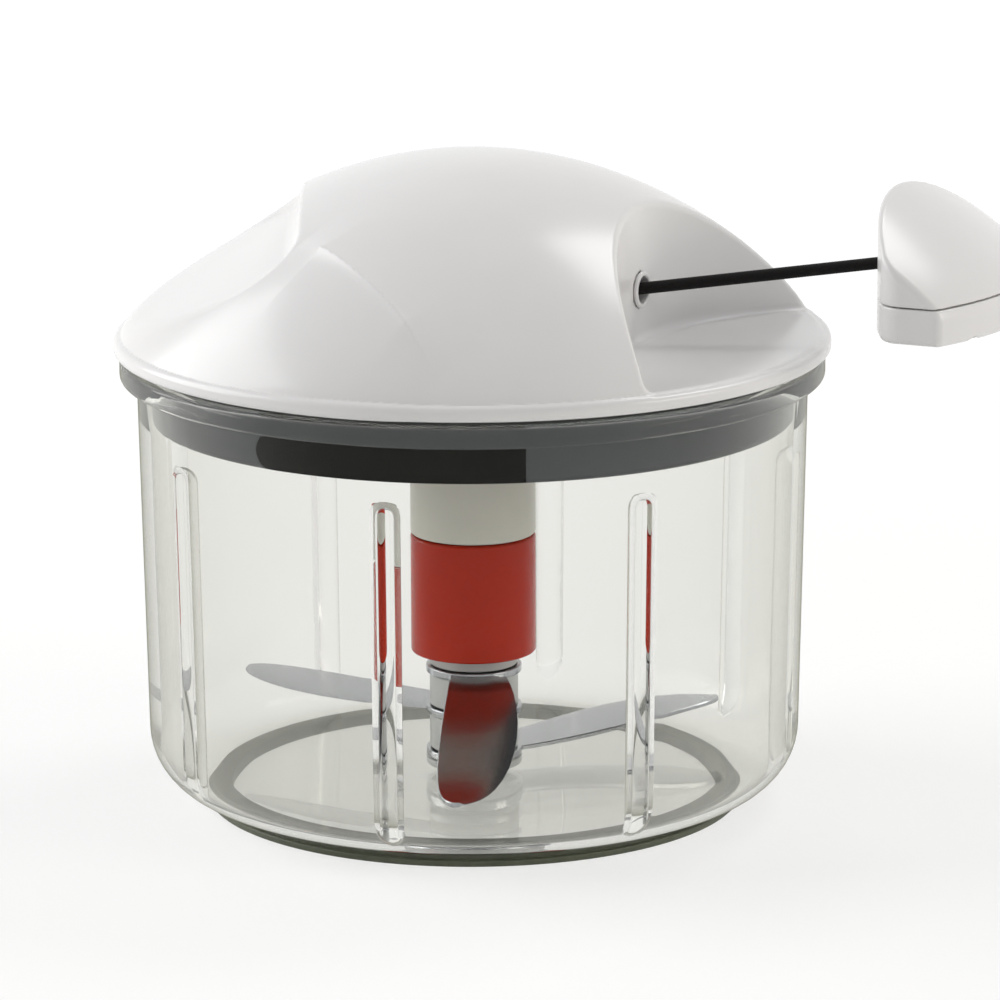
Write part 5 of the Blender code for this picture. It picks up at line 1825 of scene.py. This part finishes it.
@dataclass
class Handle:
    """Pull handle in two halves, with the cord and its stop."""

    form: LidForm
    line: CordLine
    bottom: float = 108.0
    split: float = 115.9
    seam_play: float = 0.3
    seam_round: float = 0.35
    reach: float = 71.5
    half_length: float = 33.0
    front_round: float = 1.6
    corner: float = 3.0
    edge: float = 1.2
    groove_radius: float = 6.0
    groove_reach: float = 61.5
    groove_half: float = 24.0
    groove_corner: float = 3.0
    groove_edge: float = 0.8
    cell: float = 0.5
    sampled_low: Place = (86, -62, 112)
    sampled_high: Place = (128, 16, 147)
    screw_places: tuple[tuple[float, float], ...] = ((45.47, -24.0), (57.03, 0.5))
    screw_seat: float = 113.7
    screw_tip: float = 124.5
    screw_bore: float = 1.6
    screw_sink: float = 3.2
    pocket_radius: float = 5.0
    pocket_height: float = 4.3
    bore_play: float = 0.3
    stop_radius: float = 3.4
    stop_half: float = 3.5
    # The cord ends this far before the middle of its stop, and starts inside its winding
    cord_end_gap: float = 3.8
    cord_start_gap: float = 0.3
    cord_bend: float = 4.0
    cord_step: float = 0.22
    # Eight carriers braid the cord; the pattern comes round once in 5.2 mm
    carriers: int = 8
    lay: float = 5.2
    crown: float = 0.13

    @property
    def outward(self) -> np.ndarray:
        """Plan direction from the lid's axis through the middle of the docked handle."""
        way = np.array((self.form.notch_x, self.form.notch_y))
        return way / np.linalg.norm(way)

    @property
    def sideways(self) -> np.ndarray:
        """Plan direction along the handle's length."""
        return np.array((-self.outward[1], self.outward[0]))

    def docked_field(self, points: np.ndarray) -> np.ndarray:
        """Measure the whole docked handle.

        Args:
            points: Points, one to a row.

        Returns:
            The signed distance.
        """
        x, y, z = points.T
        form = self.form
        front = np.hypot(x, y) - self.reach
        body = round_intersection(form.hollow(about_axis(points)), front, self.front_round)
        along, across = points[:, :2] @ self.outward, points[:, :2] @ self.sideways
        rear = np.hypot(x - form.notch_x, y - form.notch_y) - form.notch_radius + self.line.handle_clearance
        plan = round_intersection(rear, np.abs(across) - self.half_length, self.corner)
        body = round_intersection(body, plan, self.edge)
        body = round_intersection(body, self.bottom - z, self.edge)
        from_axis = np.hypot(along - self.groove_reach, z - self.bottom)
        ends = np.abs(across) - self.groove_half
        groove = round_intersection(from_axis - self.groove_radius, ends, self.groove_corner)
        return round_intersection(body, -groove, self.groove_edge)

    def half_field(self, upper: bool) -> Field:
        """Set up one half of the handle at rest, out on its cord.

        Args:
            upper: Whether it is the upper half.

        Returns:
            The half's distance field.
        """
        shift = self.line.way * self.line.pulled_out
        knot, entry = self.line.knot(), self.line.crossing(-self.line.handle_clearance)

        def solid(points: np.ndarray) -> np.ndarray:
            """Measure the half with its pocket, bore and screw holes cut out.

            Args:
                points: Points, one to a row.

            Returns:
                The signed distance.
            """
            docked = points - shift
            x, y, z = docked.T
            limit = self.split + self.seam_play - z if upper else z - self.split
            body = round_intersection(self.docked_field(docked), limit, self.seam_round)
            if upper:
                pocket_top = z - knot[2] - self.pocket_height
                pocket = np.maximum(np.hypot(x - knot[0], y - knot[1]) - self.pocket_radius, pocket_top)
                along, off_axis = from_line(docked, entry, self.line.way)
                off_bore = off_axis - self.line.radius - self.bore_play
                bore = np.maximum(off_bore, np.abs(along) - self.line.pocket_inset)
                body = np.maximum(body, -np.minimum(pocket, bore))
            for at in self.screw_places:
                off_axis = np.hypot(x - at[0], y - at[1])
                hole = off_axis - self.screw_bore
                if upper:
                    hole = np.maximum(hole, z - self.screw_tip)
                else:
                    hole = np.minimum(hole, np.maximum(off_axis - self.screw_sink, z - self.screw_seat))
                body = np.maximum(body, -hole)
            return body

        return solid

    def cord_line(self) -> np.ndarray:
        """Run the cord from the drum, round its bend at the eyelet, to its stop.

        Returns:
            The cord's middle line, one point to a row.
        """
        bend, end = self.line.crossing(self.form.wall / 2), self.cord_end()
        inward = self.line.start - bend
        inward /= np.linalg.norm(inward)
        start = self.line.start - inward * (2 * self.line.radius + self.cord_start_gap)
        before, after = bend + inward * self.cord_bend, bend + self.line.way * self.cord_bend
        stretches = []
        for one, two in ((start, before), (after, end)):
            count = int(np.linalg.norm(two - one) / self.cord_step)
            stretches.append(one + np.linspace(0, 1, count)[:, None] * (two - one))
        share = np.linspace(0, 1, 36)[1:-1, None]
        turn = before * (1 - share) ** 2 + bend * 2 * share * (1 - share) + after * share**2
        return np.concatenate([stretches[0], turn, stretches[1]])

    def cord(self) -> bpy.types.Object:
        """Build the braided cord as a tube with the yarns' crowns in relief.

        Returns:
            The cord.
        """

        def radius(along: float, angle: float) -> float:
            """Radius of the braid: two sets of yarns that cross over and under each other.

            Args:
                along: Distance along the cord.
                angle: Angle round it.

            Returns:
                The radius there.
            """
            turn = math.tau * along / self.lay
            left = math.cos(self.carriers / 2 * (angle + turn))
            right = math.cos(self.carriers / 2 * (angle - turn))
            return self.line.radius - self.crown + self.crown * max(abs(left), abs(right))

        return tube("pull_cord_braid", self.cord_line(), radius, sides=40)

    def cord_end(self) -> np.ndarray:
        """Point in the pulled-out handle where the cord meets its stop."""
        return self.line.knot() + self.line.way * (self.line.pulled_out - self.cord_end_gap)

    def stop(self) -> bpy.types.Object:
        """Build the moulded stop on the end of the cord.

        Returns:
            The stop.
        """
        angles = np.linspace(-QUARTER, QUARTER, 17)[1:-1]
        side = [(self.stop_radius * math.cos(angle), self.stop_half * math.sin(angle)) for angle in angles]
        made = turned("cord_stop", [(0.0, -self.stop_half), *side, (0.0, self.stop_half)], sides=32)
        at = self.line.knot() + self.line.way * self.line.pulled_out
        made.data.transform(aimed(at * MM, self.line.way))
        return made

    def build(self) -> None:
        """Build both halves, the cord and its stop."""
        halves = (("handle_upper", True, "handle_top"), ("handle_lower", False, "handle_base"))
        for name, upper, node in halves:
            half = surface(name, self.half_field(upper), self.sampled_low, self.sampled_high, self.cell)
            place_piece(half, Look.WHITE_ABS, Body.HANDLE, Slot.LID_WHITE, node)
        dress_node("handle_screw_1", Look.TURNED_STEEL)
        dress_node("handle_screw_2", Look.TURNED_STEEL)
        place_piece(self.stop(), Look.CORD, Body.HANDLE, Slot.CORD_BLACK, "cord_knot")
        cord = Look.CORD.dress(self.cord())
        begin, end = self.line.crossing(-self.line.handle_clearance / 2), self.cord_end()
        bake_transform(cord)
        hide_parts("pull_cord")


# Stage


@dataclass
class Studio:
    """Camera, lamps, world and floor."""

    distance: float = 1306.2
    rise: float = 0.241
    aim_height: float = 60.0
    # The photograph is 1000 pixels wide and high
    image_pixels: float = 1000.0
    focal_pixels: float = 5980.8
    centre_x: float = 473.2
    centre_y: float = 533.1
    roll: float = -0.005
    floor_half: float = 3000.0
    floor_glow: float = 1.1
    # The floor fades to white between these distances, in metres, from the object
    fade_from: float = 0.25
    fade_to: float = 1.0
    glow_near: float = 0.6
    glow_far: float = 0.95
    surround_strength: float = 0.4
    # Height in metres that the lamps point at
    lamp_aim: float = 0.08

    def camera(self) -> None:
        """Set the camera at the photograph's viewing angle."""
        data = bpy.data.cameras.new("studio_camera")
        data.sensor_width = 36.0
        data.lens = self.focal_pixels / self.image_pixels * data.sensor_width
        data.shift_x = (self.image_pixels / 2 - self.centre_x) / self.image_pixels
        data.shift_y = (self.centre_y - self.image_pixels / 2) / self.image_pixels
        data.clip_end = 20
        obj = bpy.data.objects.new("studio_camera", data)
        bpy.context.scene.collection.objects.link(obj)
        height = self.aim_height + self.distance * math.tan(self.rise)
        place = Vector((0, -self.distance, height)) * MM
        way = Vector((0, 0, self.aim_height)) * MM - place
        obj.matrix_world = aimed(place, way, "-Z") @ Matrix.Rotation(self.roll, 4, "Z")
        bpy.context.scene.camera = obj

    @staticmethod
    def background_rays(tree: Tree) -> Socket:
        """Tell the rays that should meet the white background from those that light the object.

        Args:
            tree: Node tree of the floor or the world.

        Returns:
            1 for the camera's rays and for those that clear plastic or a gloss sends on, 0 for others.
        """
        ray = add_node(tree, "ShaderNodeLightPath")
        most = {"operation": "MAXIMUM"}
        through = {0: ray.outputs["Is Camera Ray"], 1: ray.outputs["Is Transmission Ray"]}
        seen = add_node(tree, "ShaderNodeMath", most, through).outputs[0]
        return add_node(tree, "ShaderNodeMath", most, {0: seen, 1: ray.outputs["Is Glossy Ray"]}).outputs[0]

    def floor(self) -> None:
        """Lay a pale floor that renders near white and keeps the object's shadow."""
        half = self.floor_half
        corners = [(-half, -half, 0), (half, -half, 0), (half, half, 0), (-half, half, 0)]
        floor = make_object("studio_floor", corners, [(0, 1, 2, 3)], recalculate=False)
        material = bpy.data.materials.new("pale_floor")
        material.use_nodes = True
        tree = material.node_tree
        tree.nodes.clear()
        paint = add_node(tree, "ShaderNodeBsdfDiffuse", {"Color": linear("#f4f4f2")})
        bright = {"Color": linear("#ffffff"), "Strength": self.floor_glow}
        glow = add_node(tree, "ShaderNodeEmission", bright)
        place = add_node(tree, "ShaderNodeTexCoord").outputs["Object"]
        away = add_node(tree, "ShaderNodeVectorMath", {"operation": "LENGTH"}, {0: place}).outputs["Value"]
        fade = {
            "From Min": self.fade_from,
            "From Max": self.fade_to,
            "To Min": self.glow_near,
            "To Max": self.glow_far,
        }
        bleached = add_node(tree, "ShaderNodeMapRange", fade, {"Value": away}).outputs["Result"]
        factors = {0: self.background_rays(tree), 1: bleached}
        share = add_node(tree, "ShaderNodeMath", {"operation": "MULTIPLY"}, factors).outputs[0]
        mix = {0: share, 1: paint.outputs[0], 2: glow.outputs[0]}
        both = add_node(tree, "ShaderNodeMixShader", {}, mix)
        add_node(tree, "ShaderNodeOutputMaterial", {}, {"Surface": both.outputs[0]})
        floor.data.materials.append(material)

    def world(self) -> None:
        """Give the scene a soft pale surround that the camera sees as white."""
        world = bpy.data.worlds.new("studio_world")
        bpy.context.scene.world = world
        world.use_nodes = True
        tree = world.node_tree
        tree.nodes.clear()
        pale = {"Color": linear("#f3f3f5"), "Strength": self.surround_strength}
        soft = add_node(tree, "ShaderNodeBackground", pale)
        white = add_node(tree, "ShaderNodeBackground", {"Color": linear("#ffffff"), "Strength": 1.0})
        mix = {0: self.background_rays(tree), 1: soft.outputs[0], 2: white.outputs[0]}
        mixed = add_node(tree, "ShaderNodeMixShader", {}, mix)
        add_node(tree, "ShaderNodeOutputWorld", {}, {"Surface": mixed.outputs[0]})

    def lamp(self, name: str, place: Place, size: float, power: float, colour: str) -> None:
        """Hang one soft box that points at the object.

        Args:
            name: Name of the lamp.
            place: Its place in metres.
            size: Edge of its square face in metres.
            power: Its power in watts.
            colour: Its sRGB colour.
        """
        data = bpy.data.lights.new(name, "AREA")
        data.shape = "SQUARE"
        data.size = size
        data.energy = power
        data.color = linear(colour)[:3]
        obj = bpy.data.objects.new(name, data)
        bpy.context.scene.collection.objects.link(obj)
        obj.matrix_world = aimed(place, Vector((0, 0, self.lamp_aim)) - Vector(place), "-Z")

    def build(self) -> None:
        """Set the view transform, the camera, the floor, the world and the lamps."""
        bpy.context.scene.view_settings.view_transform = "Standard"
        self.camera()
        self.floor()
        self.world()
        self.lamp("key_box", (-1.3, 0.3, 0.75), size=1.2, power=18.2, colour="#ffffff")
        self.lamp("top_box", (0.55, 0.5, 1.1), size=0.45, power=3.6, colour="#ffffff")
        self.lamp("side_box", (1.3, -0.5, 0.55), size=0.7, power=6.5, colour="#fffaf2")


def main() -> None:
    """Build the stage and every sub-assembly, and log each one as it is ready."""
    logging.basicConfig(level=logging.INFO, format="%(name)s: %(message)s")
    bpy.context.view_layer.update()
    form = LidForm()
    line = CordLine(form)
    for assembly in (Studio(), Bowl(), Drive(), BladeUnit(), Lid(form, line), Handle(form, line)):
        assembly.build()
        LOG.info("%s is ready", type(assembly).__name__)


if __name__ == "__main__":
    main()
